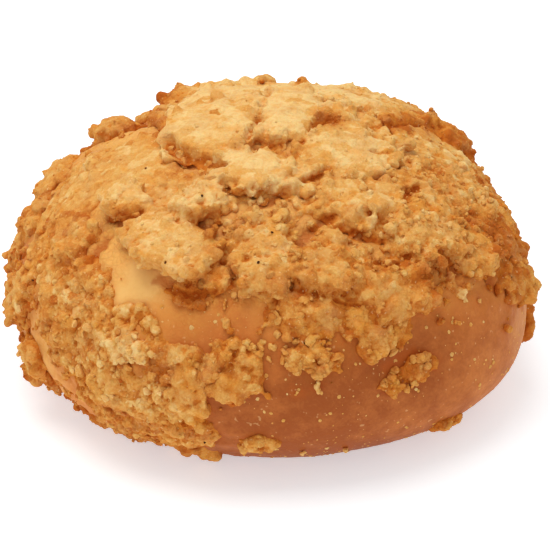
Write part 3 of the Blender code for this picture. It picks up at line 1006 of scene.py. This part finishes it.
def crustMaterial():
    look, bumps = crustLook, crustLook["bumps"]
    material, wire, shader = newMaterial("streusel")
    where = wire.node("ShaderNodeTexCoord", {}, {}, "Object")
    pale, crevice, rough = (attribute(wire, name) for name in ("pale", "crevice", "rough"))
    slow, mid, grain, fine = (noiseTex(wire, where, *look[name]) for name in ("slow", "mid", "grain", "fine"))
    lively = look["lively"][0] + rough * look["lively"][1]
    speckle = look["speckle"][0] + rough * look["speckle"][1]
    tone = pale + (slow - 0.5 + mid - 0.5) * look["blotches"] * lively + (fine - 0.5) * speckle
    colours = (look["toasted"], look["golden"], look["pale"], look["palest"])
    stops = list(zip(look["stops"], colours))
    body = wire.node("ShaderNodeValToRGB", {"stops": stops}, {"Fac": tone.clamped()})
    body = patchy(wire, where, body, look["butter"], *look["butterPatches"])
    body = patchy(wire, where, body, look["tan"], *look["tanPatches"])
    # painted shade in the hollows, cuts and low edges of the crust, with some deeper toasting
    gap = (crevice + (mid - 0.5) * 0.4).clamped()
    body = mixed(wire, gap.between(0.0, 0.5) * look["gapShade"], body, look["shallow"])
    body = mixed(wire, gap.between(0.4, 1.0), body, look["crevice"])
    body = patchy(wire, where, body, look["fleck"], *look["fleckPatches"])
    stirred = bent(wire, where, *look["stir"])
    coarse = seams(wire, stirred, *look["coarseSeams"]) * rough
    small = seams(wire, stirred, *look["smallSeams"])
    line = mixed(wire, tone.clamped(), look["seam"], look["seamPale"])
    lines = coarse * look["seamShade"][0] + small * look["seamShade"][1]
    body = mixed(wire, lines * (1.5 - pale).clamped(), body, line)
    body = mixed(wire, pale.between(-0.6, -0.9), body, look["burnt"])
    smooth = (1.2 - rough).clamped()
    # painted shade in the small pits of the smooth crust
    start, end, share = look["pitShade"]
    body = mixed(wire, grain.between(start, end) * smooth * share, body, line)
    sunk = (coarse * bumps["coarse"] + small * bumps["small"]) * (1.2 - pale).clamped()
    height = fine * bumps["fine"] + mid * bumps["mid"] * lively - sunk + grain * smooth * bumps["grain"]
    finish(shader, wire, look, body, look["matt"] + (mid - 0.5) * 0.2, height)
    return material


breadLook = {
    "pale": paint(238, 186, 108),
    "golden": paint(224, 148, 70),
    "brown": paint(196, 112, 48),
    "deep": paint(158, 79, 28),
    "filmPale": paint(238, 182, 98),
    "film": paint(232, 164, 76),
    "filmBrown": paint(208, 124, 48),
    # painted shade near the lumps, in hollows and cuts, with some toasting
    "stain": paint(184, 86, 22),
    "fleck": paint(238, 190, 128),
    "stops": (0.0, 0.35, 0.7, 1.0),
    "filmStops": (0.1, 0.5, 0.9),
    "slow": (60.0, 3.0),
    "mid": (260.0, 4.0, 0.6),
    "fine": (1600.0, 3.0, 0.6),
    "fleckPatches": (900.0, 1.0, 0.7, 0.76, 0.35),
    "stir": (700.0, 0.001),
    "cells": (850.0, 0.2),
    "pores": 800.0,
    "blotches": {"slow": 0.5, "mid": 0.55, "fine": 0.25},
    "filmBlotches": {"mid": 1.1, "fine": 0.7},
    "shadeAndToastShare": 0.75,
    "bumps": {"fine": 0.7, "mid": 0.6, "pores": 0.35},
    "filmBumps": {"mid": 2.5, "fine": 1.6, "cells": 0.8},
    "bump": 0.00012,
    "matt": 0.6,
    "gloss": 0.16,
    "softness": 0.1,
    "softRadius": (1.0, 0.42, 0.16),
    "softReach": 0.002,
}


def breadMaterial():
    look, bumps, filmBumps = breadLook, breadLook["bumps"], breadLook["filmBumps"]
    material, wire, shader = newMaterial("breadSkin")
    where = wire.node("ShaderNodeTexCoord", {}, {}, "Object")
    bake, film, stain, pale = (attribute(wire, name) for name in ("bake", "film", "stain", "pale"))
    slow, mid, fine = (noiseTex(wire, where, *look[name]) for name in ("slow", "mid", "fine"))
    much = look["blotches"]
    tone = bake + (slow - 0.5) * much["slow"] + (mid - 0.5) * much["mid"] + (fine - 0.5) * much["fine"]
    stops = list(zip(look["stops"], (look["pale"], look["golden"], look["brown"], look["deep"])))
    body = wire.node("ShaderNodeValToRGB", {"stops": stops}, {"Fac": tone.clamped()})
    much = look["filmBlotches"]
    grainy = pale + (mid - 0.5) * much["mid"] + (fine - 0.5) * much["fine"]
    stops = list(zip(look["filmStops"], (look["filmBrown"], look["film"], look["filmPale"])))
    crust = wire.node("ShaderNodeValToRGB", {"stops": stops}, {"Fac": grainy.clamped()})
    body = mixed(wire, (film * 1.2 + (mid - 0.6) * 0.6).clamped(), body, crust)
    # painted shade near the lumps, in hollows and cuts, with some toasting
    shadeAndToastShare = (stain + (mid - 0.5) * 0.5).clamped() * look["shadeAndToastShare"]
    body = mixed(wire, shadeAndToastShare, body, look["stain"])
    body = patchy(wire, where, body, look["fleck"], *look["fleckPatches"])
    cells = seams(wire, bent(wire, where, *look["stir"]), *look["cells"])
    # painted shade in the seams between the film's grains
    body = mixed(wire, cells * film * 0.22, body, look["stain"])
    pores = wire.node("ShaderNodeTexVoronoi", {"feature": "F1"}, {"Vector": where, "Scale": look["pores"]})
    filmed = film * (mid * filmBumps["mid"] + fine * filmBumps["fine"] - cells * filmBumps["cells"])
    height = fine * bumps["fine"] + mid * bumps["mid"] + pores * bumps["pores"] + filmed
    finish(shader, wire, look, body, look["matt"] + (mid - 0.5) * 0.2, height)
    return material


# The bread

breadPiece = {
    "cuts": 116,
    "film": 0.3,  # how thick the crust is where nothing lies on it
    "filmWaves": (0.35, 0.22),
    "filmRipples": (0.22, 0.55),
    "knobs": (0.45, 0.4),
    "knobReach": 0.6,
    "cutDepth": 0.2,
    "waves": (0.08, 0.35),
    "ripples": (0.05, 0.9),
    "shadeFrom": 0.8,  # painted shade: how near the lumps
    "shadeReach": 3.0,
    "halo": 2.2,
    "hollow": (0.02, 0.3),
    "paleNoHalo": {"paleBulge": (-127, 24, 9, -0.65)},
    "shadeAndToastParts": {"lumps": 0.5, "hollows": 0.4, "cuts": 0.8, "toastsAndShades": 0.5},
}
goldenBread = {  # azimuth, rise, spread in degrees, how much
    "fold": (-80, 18, 8, 0.55),
    "foldRight": (-68, 19, 6, 0.3),
    "underLedge": (-110, 20, 5, 0.45),
    "besideBand": (-117, 8, 9, 0.6),
}
bakedBrownAndShade = {  # azimuth, rise, spread in degrees, how much browner; underLedge paints shade
    "paleBulge": (-126, 24, 12, -0.6),
    "fold": (-88, 24, 12, -0.2),
    "rightFlank": (-8, -3, 24, -0.42),
    "frontRight": (-42, 0, 20, -0.14),
    # painted shade on the bread below the crust's ledge
    "underLedge": (-99, 21, 9, 0.2),
    "underFront": (-62, 15, 14, 0.22),
    "leftFlank": (-149, 0, 24, -0.72),
}


def bakeAndShadeAt(ways):
    # how brown the bread's skin baked: deep low down, golden higher, pale where the crust split off late,
    # with painted shade below the ledge
    _, rise = anglesOf(ways)
    bake = 0.95 - 0.4 * smoothStep(6, 26, rise) - 0.2 * smoothStep(26, 50, rise)
    return withMounds(bake, ways, bakedBrownAndShade)


def roundedCube(name, cuts):
    # a ball of even squares, as a mesh, and the ways to its points
    bm = bmesh.new()
    bmesh.ops.create_cube(bm, size=2.0)
    bmesh.ops.subdivide_edges(bm, edges=bm.edges, cuts=cuts, use_grid_fill=True)
    mesh = meshFrom(bm, name)
    return mesh, unit(np.tan(coordinates(mesh) * math.pi / 4))


def wavy(points, size):
    # low relief: how high, and how many waves to a millimetre
    height, scale = size
    return height * noiseAt(points, scale)


def buildBread(lumpsAt, material):
    piece = breadPiece
    mesh, ways = roundedCube("bread", piece["cuts"])
    here, _, _, outward = skinFrames(ways)
    cover = crustedAt(ways)
    share, _ = cutShare(ways, here)
    _, rise = anglesOf(ways)
    film = piece["film"] + wavy(here, piece["filmWaves"]) + wavy(here, piece["filmRipples"])
    knob, spacing = piece["knobs"]
    nearest = np.array([noise.voronoi(row)[0][0] for row in (here * spacing).tolist()])
    film += knob * (1 - np.clip(nearest / piece["knobReach"], 0, 1) ** 2)
    off = cover * (film * (1 - share) - piece["cutDepth"] * share)
    off = off + wavy(here, piece["waves"]) + wavy(here, piece["ripples"])
    points = here + outward * np.where(here[:, 2] > 0, off, 0)[:, None]
    points[:, 2] = np.maximum(points[:, 2], 0)
    setCoordinates(mesh, points)
    # what the material reads
    _, away = nearestOf(lumpsAt, points, 4)
    _, beside = nearestOf(lumpsAt, points)
    halo = np.exp(-((beside / piece["halo"]) ** 2)) * (1 + 0.5 * noiseAt(here, 0.5))
    halo *= smoothStep(0, 35, rise) * withMounds(1, ways, piece["paleNoHalo"])
    filmed = np.clip(cover + 0.3 * noiseAt(here, 0.2), 0, 1) * smoothStep(5, 35, rise)
    filmed = np.maximum(np.maximum(filmed, halo), withMounds(0, ways, goldenBread))
    # painted shade near the lumps, in hollows and in cuts, and the toasting and painted shade of the toasts
    near = 1 - smoothStep(piece["shadeFrom"], piece["shadeReach"], away)
    hollow = smoothStep(*piece["hollow"], hollowness(mesh, 12))
    much = piece["shadeAndToastParts"]
    stain = much["lumps"] * near + much["hollows"] * hollow * cover + much["cuts"] * share
    stain = stain + much["toastsAndShades"] * toastAndShadeAt(ways) * cover
    setAttribute(mesh, "bake", bakeAndShadeAt(ways))
    setAttribute(mesh, "film", np.clip(filmed, 0, 1))
    setAttribute(mesh, "stain", np.clip(stain, 0, 1))
    setAttribute(mesh, "pale", paleAt(ways) + 0.1 - 0.3 * (1 - cover))
    print("bread, faces", len(mesh.polygons))
    return toObject("bread", mesh, material)


# The crust's pieces

crustRelief = {
    "knobby": (0.2, 0.6),
    "gritty": (0.1, 1.4),
    "bumpsWhereSmooth": 0.4,
    "cells": 0.42,
    "seamWidth": 0.3,
    "valley": 0.3,
    "calming": 14,
    "calmLess": 0.7,  # calm in the cuts, and roughness where it is calm
    "core": -1.1,
    "coreCuts": 40,
    "lowest": 0.05,
    "toastingAndShading": 1.1,
    "paleUp": 0.12,  # for each millimetre it stands above the bread
    "paleFrom": 1.2,
}
# how the painted shade in hollows, cuts and at the crust's low edges is measured
creviceShape = {
    "small": (5, 0.3, 0.45),  # smoothing passes, how many voxels deep counts as full, share
    "broad": (40, 0.6, 0.7),  # the same, in millimetres
    "cuts": 0.65,
    "cutsBelow": 1.6,
    "crown": 0.45,  # how much less on the crown
    "crownFrom": (48, 66),
    "edges": 0.4,  # where it runs out on the bread
    "edgesAt": (1.1, 0.1),
    "edgesBelow": (40, 60),
}


def cellsAt(points, scale):
    # 0 on the seams between crumbs, more towards their middles
    bent = points + 0.5 * np.stack([noiseAt(points, 0.9, (k, 2 * k, 5)) for k in (1, 4, 7)], axis=1)
    found = [noise.voronoi(row)[0] for row in (bent * scale).tolist()]
    return np.array([f[1] - f[0] for f in found])


def makeCore():
    # the bread a little shrunken: what of the crust lies inside it is cut away
    mesh, ways = roundedCube("core", crustRelief["coreCuts"])
    here, _, _, outward = skinFrames(ways)
    setCoordinates(mesh, here + outward * crustRelief["core"])
    return linked("core", mesh)


def nearestOf(places, points, nth=1):
    # which of the places is the nearest to each point, and how far off the nth nearest is
    tree = kdtree.KDTree(len(places))
    for n, where in enumerate(places):
        tree.insert(where, n)
    tree.balance()
    found = [tree.find_n(row, nth) for row in points.tolist()]
    return np.array([f[0][1] for f in found]), np.array([f[-1][2] for f in found])


def creviceAt(mesh, voxel, ways, over, share):
    # how much painted shade, with some deeper toasting, it gets for lying in a crevice, in a cut, or low at
    # the crust's edge
    shape = creviceShape
    _, rise = anglesOf(ways)
    crevice = 0
    for measure, (passes, full, much) in ((voxel, shape["small"]), (1, shape["broad"])):
        crevice = crevice + smoothStep(0.0, full, hollowness(mesh, passes) / measure) * much
    crevice = crevice + shape["cuts"] * share * (over < shape["cutsBelow"])
    crevice *= 1 - shape["crown"] * smoothStep(*shape["crownFrom"], rise)
    edges = smoothStep(*shape["edgesAt"], over) * (1 - smoothStep(*shape["edgesBelow"], rise))
    return np.clip(crevice + shape["edges"] * edges, 0, 1)


def buildCrustPiece(name, heap, dots, core, material):
    relief, voxel = crustRelief, crustParts[name]
    coarser = 1
    mesh = applied(heap.mesh(name), "REMESH", mode="VOXEL", voxel_size=voxel * coarser, adaptivity=0.0)
    mesh = applied(mesh, "BOOLEAN", operation="DIFFERENCE", solver="MANIFOLD", object=core)
    mesh = applied(mesh, "SMOOTH", factor=0.5, iterations=2)
    points, normals = coordinates(mesh), coordinates(mesh, "normal")
    ways, _ = waysOf(points)
    calm = calmAt(ways) * (1 - relief["calmLess"] * cutShare(ways, points)[0])
    smooth = applied(mesh.copy(), "SMOOTH", factor=0.5, iterations=relief["calming"])
    points += (coordinates(smooth) - points) * calm[:, None]
    bpy.data.meshes.remove(smooth)
    bumps = wavy(points, relief["knobby"]) + wavy(points, relief["gritty"])
    which, _ = nearestOf([where for where, _, _ in dots], points)
    tones, rough = np.array([(tone, much) for _, tone, much in dots]).T
    rough = rough[which] * (1 - relief["calmLess"] * calm)
    seam = 1 - smoothStep(0, relief["seamWidth"], cellsAt(points, relief["cells"]))
    least = relief["bumpsWhereSmooth"]
    points += normals * (bumps * (least + (1 - least) * rough) - relief["valley"] * rough * seam)[:, None]
    points[:, 2] = np.maximum(points[:, 2], relief["lowest"])
    setCoordinates(mesh, points)
    mesh = applied(mesh, "SMOOTH", factor=0.35, iterations=1)
    points = coordinates(mesh)
    ways, over = waysOf(points)
    share, _ = cutShare(ways, points)
    # darker where toasted, and painted shade on the clumps' lower-right sides
    pale = 0.05 + tones[which] - relief["toastingAndShading"] * toastAndShadeAt(ways)
    pale = pale + relief["paleUp"] * np.clip(over - relief["paleFrom"], -2, 2)
    setAttribute(mesh, "pale", pale)
    # painted shade in the crevices, with some deeper toasting
    setAttribute(mesh, "crevice", creviceAt(mesh, voxel, ways, over, share))
    setAttribute(mesh, "rough", rough)
    print("crust", name, "faces", len(mesh.polygons))
    return toObject("crust_" + name, mesh, material)


# Separate angular crumbs, in groups on the bread and by rule on the crust

chunkGroups = {  # azimuth, rise, length, width, turn, how many, smallest and largest radius, how pale
    "ring": (-81, 13, 13, 7.5, -12, 46, 0.4, 1.25, 0.46),
    "lowRight": (-59.5, 5, 15, 5.5, 12, 48, 0.4, 1.15, 0.3),
    "underCrownLeft": (-150, 58, 24, 4, 6, 30, 0.4, 1.1, 0.5),
    "foldCrumbs": (-82, 20, 15, 7, -10, 26, 0.35, 0.95, 0.45),
    "foldRight": (-64, 20, 16, 8, -10, 28, 0.35, 0.95, 0.42),
    "hangingLeft": (-68, 12, 3.5, 4, 0, 5, 0.6, 1.2, 0.5),
    "hangingRight": (-63, 12, 2.5, 4, 0, 4, 0.6, 1.2, 0.4),
    "hangingTop": (-64, 18, 9, 6, 0, 10, 0.5, 1.2, 0.42),
    "smallFront": (-87, 22, 5, 4, 0, 5, 0.6, 1.3, 0.45),
    "besideRing": (-91, 16, 8, 5, 0, 8, 0.5, 1.3, 0.5),
    "leftOfRing": (-93, 13, 7, 9, 0, 9, 0.6, 1.4, 0.48),
    "bandTopLeft": (-154, 17, 18, 9, 17, 10, 0.5, 1.2, 0.42),
    "bandTop": (-141, 15, 16, 9, 17, 12, 0.5, 1.2, 0.46),
    "bandLeft": (-130, 5, 18, 9, 6, 14, 0.5, 1.2, 0.46),
    "bandMiddle": (-121, 14, 13, 9, 5, 10, 0.5, 1.2, 0.52),
    "bandLow": (-113, 2, 24, 10, 2, 20, 0.5, 1.2, 0.46),
    "bandRight": (-101, 10, 11, 9, 0, 10, 0.5, 1.3, 0.46),
    "baseFront": (-108, -6, 20, 5, 5, 9, 0.4, 0.9, 0.46),
    "ledgeRight": (-30, 22, 16, 8, -25, 8, 0.5, 1.1, 0.38),
    "rightFront": (-57, 21, 12, 6, -20, 8, 0.5, 1.2, 0.44),
}
chunkShape = {
    "broken": 7,
    "facetDepth": (0.5, 0.95),
    "thin": (0.8, 1.25),
    "knobby": (0.3, 0.9),
    "gritty": (0.14, 2.4),
    "lowest": 0.1,
    "shadeUnder": 0.7,
    "groupUp": (0.3, 0.8),  # of its radius
    "groupTone": (-0.2, 0.2),
    "ruleRadius": (0.35, 1.0),
    "ruleTone": (-0.15, 0.2),
    "ruleOver": 0.5,
    "sunk": -0.15,
    "rough": 0.9,
    "sharpFrom": 26,  # degrees between faces
}
chunksByRule = {"crown": 20, "frontLeft": 560, "frontRight": 480, "backRight": 180, "backLeft": 200}


def readAttribute(piece, name):
    values = np.empty(len(piece.data.vertices), np.float32)
    piece.data.attributes[name].data.foreach_get("value", values)
    return values


def sizesOf(draw, between, count, power):
    # small ones are the most common
    low, high = between
    return low + (high - low) * draw.random(count) ** power


def chunkForms(draw, centres, radii, tones, subdivisions):
    # broken lumps with a rough skin, paler on top and darker underneath: painted light and shade
    shape = chunkShape
    verts, faces = grains(draw, centres, radii, subdivisions, shape["broken"], shape)
    each = len(verts) // len(centres)
    middles = np.repeat(centres, each, axis=0)
    relief = wavy(verts, shape["knobby"]) + wavy(verts, shape["gritty"])
    verts += unit(verts - middles) * relief[:, None]
    verts[:, 2] = np.maximum(verts[:, 2], shape["lowest"])
    ways, _ = waysOf(verts)
    low = np.sum((verts - middles) * ways, axis=1) / np.repeat(radii, each)
    # painted light and shade: paler on the upper side, shaded underneath
    return verts, faces, np.repeat(tones, each) + 0.1 * low, shape["shadeUnder"] * smoothStep(0.2, -0.8, low)


def buildChunks(crust, material):
    draw, shape = np.random.default_rng(37), chunkShape
    heap, pales, crevicesShadeAndToast = Heap(), [], []

    def add(centres, radii, tones, subdivisions):
        verts, faces, pale, crevice = chunkForms(draw, centres, radii, tones, subdivisions)
        heap.add(verts, faces)
        pales.append(pale)
        crevicesShadeAndToast.append(crevice)

    for azimuth, rise, length, width, turn, count, low, high, pale in chunkGroups.values():
        out, angle = np.sqrt(draw.uniform(0.05, 1, size=count)), draw.uniform(0, 2 * math.pi, size=count)
        size = sizesOf(draw, (low, high), count, 1.6)
        x, y = out * np.cos(angle) * length / 2, out * np.sin(angle) * width / 2
        here, _, _, outward = skinFrames(layOn((azimuth, rise), turn, x, y))
        centres = here + outward * (size * draw.uniform(*shape["groupUp"], size=count))[:, None]
        add(centres, size, pale + draw.uniform(*shape["groupTone"], size=count), 3)
    for piece in crust:
        count = chunksByRule[piece.name.removeprefix("crust_")]
        points, normals = placesOn(piece)
        rough, pale = readAttribute(piece, "rough"), readAttribute(piece, "pale")
        chosen = draw.choice(len(points), count * 4, replace=False)
        ways, over = waysOf(points[chosen])
        likely = densityAt(ways) * (over > shape["ruleOver"]) * rough[chosen]
        chosen = chosen[draw.random(len(chosen)) < likely][:count]
        size = sizesOf(draw, shape["ruleRadius"], len(chosen), 1.8)
        centres = points[chosen] + normals[chosen] * size[:, None] * shape["sunk"]
        add(centres, size, pale[chosen] + draw.uniform(*shape["ruleTone"], size=len(chosen)), 2)
    mesh = heap.mesh("chunks")
    setAttribute(mesh, "pale", np.concatenate(pales))
    setAttribute(mesh, "crevice", np.concatenate(crevicesShadeAndToast))
    setAttribute(mesh, "rough", np.full(len(mesh.vertices), shape["rough"]))
    print("chunks, faces", len(mesh.polygons))
    return toObject("chunks", mesh, material, shape["sharpFrom"])


# Loose crumbs: the finest ones on the crust, and specks on the bare bread

looseCrumbs = {
    "onCrust": 3800,
    "crustRadius": (0.18, 0.42),
    "crustUp": 0.1,  # of its radius
    "crustTone": (-0.2, 0.12),
    "crustOver": 0.3,
    "specks": 2600,
    "speckRadius": (0.1, 0.5),
    "speckFlat": 0.45,
    "speckTone": (0.4, 0.95),
    "specksFrom": (-0.5, 0.4),  # the sine of the rise
    "speckClusters": 4.0,
    "specksOver": 2.5,  # the floor
    "burntRadius": 0.3,
    "burntTone": -1.2,
    "broken": 2,
}
burntSpecks = {  # azimuth, rise
    "frontBig": (-118, 30),
    "centre": (-95, 33),
    "heart": (-119, 48),
    "centreTop": (-92, 41),
    "far": (80, 47),
    "leftEdge": (-155, 13),
    "base": (-103, -8),
    "upperLeft": (-160, 48),
}


def addCrustCrumbs(draw, crust, heap, tones):
    faces = sum(len(piece.data.polygons) for piece in crust)
    for piece in crust:
        points, normals = placesOn(piece)
        count = int(looseCrumbs["onCrust"] * len(piece.data.polygons) / faces)
        chosen = draw.choice(len(points), count, replace=False)
        _, over = waysOf(points[chosen])
        rough, pale = readAttribute(piece, "rough"), readAttribute(piece, "pale")
        chosen = chosen[(over > looseCrumbs["crustOver"]) & (draw.random(len(chosen)) < rough[chosen])]
        radii = sizesOf(draw, looseCrumbs["crustRadius"], len(chosen), 2)
        centres = points[chosen] + normals[chosen] * radii[:, None] * looseCrumbs["crustUp"]
        heap.add(*grains(draw, centres, radii, 1, looseCrumbs["broken"]))
        tones.append(pale[chosen] + draw.uniform(*looseCrumbs["crustTone"], size=len(chosen)))


def addSpecks(draw, heap, tones):
    # flat specks on the bare bread
    ways = randomWays(draw, looseCrumbs["specks"] * 2, *looseCrumbs["specksFrom"])
    clustered = noiseAt(ways, looseCrumbs["speckClusters"]) > draw.uniform(-0.6, 0.5, size=len(ways))
    here, _, _, outward = skinFrames(ways[(crustedAt(ways) < 0.3) & clustered])
    keep = here[:, 2] > looseCrumbs["specksOver"]
    here, outward = here[keep], outward[keep]
    radii = sizesOf(draw, looseCrumbs["speckRadius"], len(here), 3)
    verts, faces = grains(draw, here, radii, 1, looseCrumbs["broken"])
    each = len(verts) // len(here)
    middles, ups = np.repeat(here, each, axis=0), np.repeat(outward, each, axis=0)
    raised = np.sum((verts - middles) * ups, axis=1)
    heap.add(verts - ups * (raised * (1 - looseCrumbs["speckFlat"]))[:, None], faces)
    tones.append(draw.uniform(*looseCrumbs["speckTone"], size=len(here)))


def addBurntSpecks(draw, crust, heap, tones):
    # each on the highest point of the crust near its place
    surfaces = [placesOn(piece)[0] for piece in crust]
    surfaces = [(points, *waysOf(points)) for points in surfaces]
    for azimuth, rise in burntSpecks.values():
        way = wayTo(azimuth, rise)
        found = []
        for points, ways, over in surfaces:
            near = np.flatnonzero(ways @ way > math.cos(0.012))
            found += [(over[n], points[n]) for n in near]
        if found:
            centre = max(found, key=lambda one: one[0])[1]
            heap.add(*grains(draw, centre[None], np.array([looseCrumbs["burntRadius"]]), 1))
            tones.append(np.array([looseCrumbs["burntTone"]]))


def buildCrumbs(crust, material):
    draw = np.random.default_rng(23)
    heap, tones = Heap(), []
    addCrustCrumbs(draw, crust, heap, tones)
    addSpecks(draw, heap, tones)
    addBurntSpecks(draw, crust, heap, tones)
    mesh = heap.mesh("crumbs")
    tones = np.concatenate(tones)
    setAttribute(mesh, "pale", np.repeat(tones, len(mesh.vertices) // len(tones)))
    setAttribute(mesh, "crevice", np.zeros(len(mesh.vertices)))
    setAttribute(mesh, "rough", np.zeros(len(mesh.vertices)))
    print("crumbs", len(tones))
    return toObject("crumbs", mesh, material, chunkShape["sharpFrom"])


# Stage: camera, floor and light

view = {  # millimetres, degrees and pixels
    "size": 550,
    "rise": 30.0,
    "distance": 480.0,
    "focal": 2240.0,
    "aim": (1.5, -2.68, 21.36),
    "sensor": 36,
}


def setCamera():
    data = bpy.data.cameras.new("camera")
    camera = linked("camera", data)
    data.sensor_width = view["sensor"]
    data.lens = view["focal"] * view["sensor"] / view["size"]
    data.clip_end = 10
    rise = math.radians(view["rise"])
    back = Vector((0, -math.cos(rise), math.sin(rise)))
    camera.location = (Vector(view["aim"]) + back * view["distance"]) * 0.001
    camera.rotation_euler = back.to_track_quat("Z", "Y").to_euler()
    bpy.context.scene.camera = camera


lights = {  # place in metres, size, watts, colour
    "above": ((-0.1, 0.03, 0.55), 0.45, 1.75, (1.0, 0.985, 0.96)),
    "front": ((-0.2, -0.65, 0.4), 0.5, 0.4, (1.0, 0.98, 0.95)),
}
lit = (0, 0, 0.02)  # what they point at
worldLook = {"colour": (1.0, 0.99, 0.97, 1), "strength": 0.6}
floorLook = {
    "colour": (0.82, 0.82, 0.82, 1),
    "roughness": 0.7,
    "glow": (0.77, 0.86, 0.92, 1),
    "glowing": 0.52,
    "halfSide": 1.5,
}


def setLights():
    for name, (place, size, watts, colour) in lights.items():
        data = bpy.data.lights.new(name, "AREA")
        data.shape, data.size, data.energy, data.color = "DISK", size, watts, colour
        lamp = linked(name, data)
        lamp.location = place
        lamp.rotation_euler = (Vector(place) - Vector(lit)).to_track_quat("Z", "Y").to_euler()
    world = bpy.data.worlds.new("studio")
    bpy.context.scene.world = world
    world.use_nodes = True
    background = world.node_tree.nodes["Background"]
    background.inputs["Color"].default_value = worldLook["colour"]
    background.inputs["Strength"].default_value = worldLook["strength"]
    bpy.context.scene.view_settings.view_transform = "Standard"


def setFloor():
    bm = bmesh.new()
    bmesh.ops.create_grid(bm, x_segments=2, y_segments=2, size=floorLook["halfSide"])
    mesh = meshFrom(bm, "floor")
    floor = linked("floor", mesh)
    material, _, shader = newMaterial("paleFloor")
    shader.inputs["Base Color"].default_value = floorLook["colour"]
    shader.inputs["Roughness"].default_value = floorLook["roughness"]
    shader.inputs["Emission Color"].default_value = floorLook["glow"]
    shader.inputs["Emission Strength"].default_value = floorLook["glowing"]
    mesh.materials.append(material)


setCamera()
setLights()
setFloor()
print("stage set")
heaps, dots = gatherCrust()
print("crust gathered")
streusel = crustMaterial()
core = makeCore()
crust = [buildCrustPiece(name, heaps[name], dots[name], core, streusel) for name in crustParts]
bpy.data.objects.remove(core)
print("crust built")
buildBread([where for part in dots.values() for where, _, _ in part], breadMaterial())
print("bread built")
buildChunks(crust, streusel)
buildCrumbs(crust, streusel)
print("crumbs built")
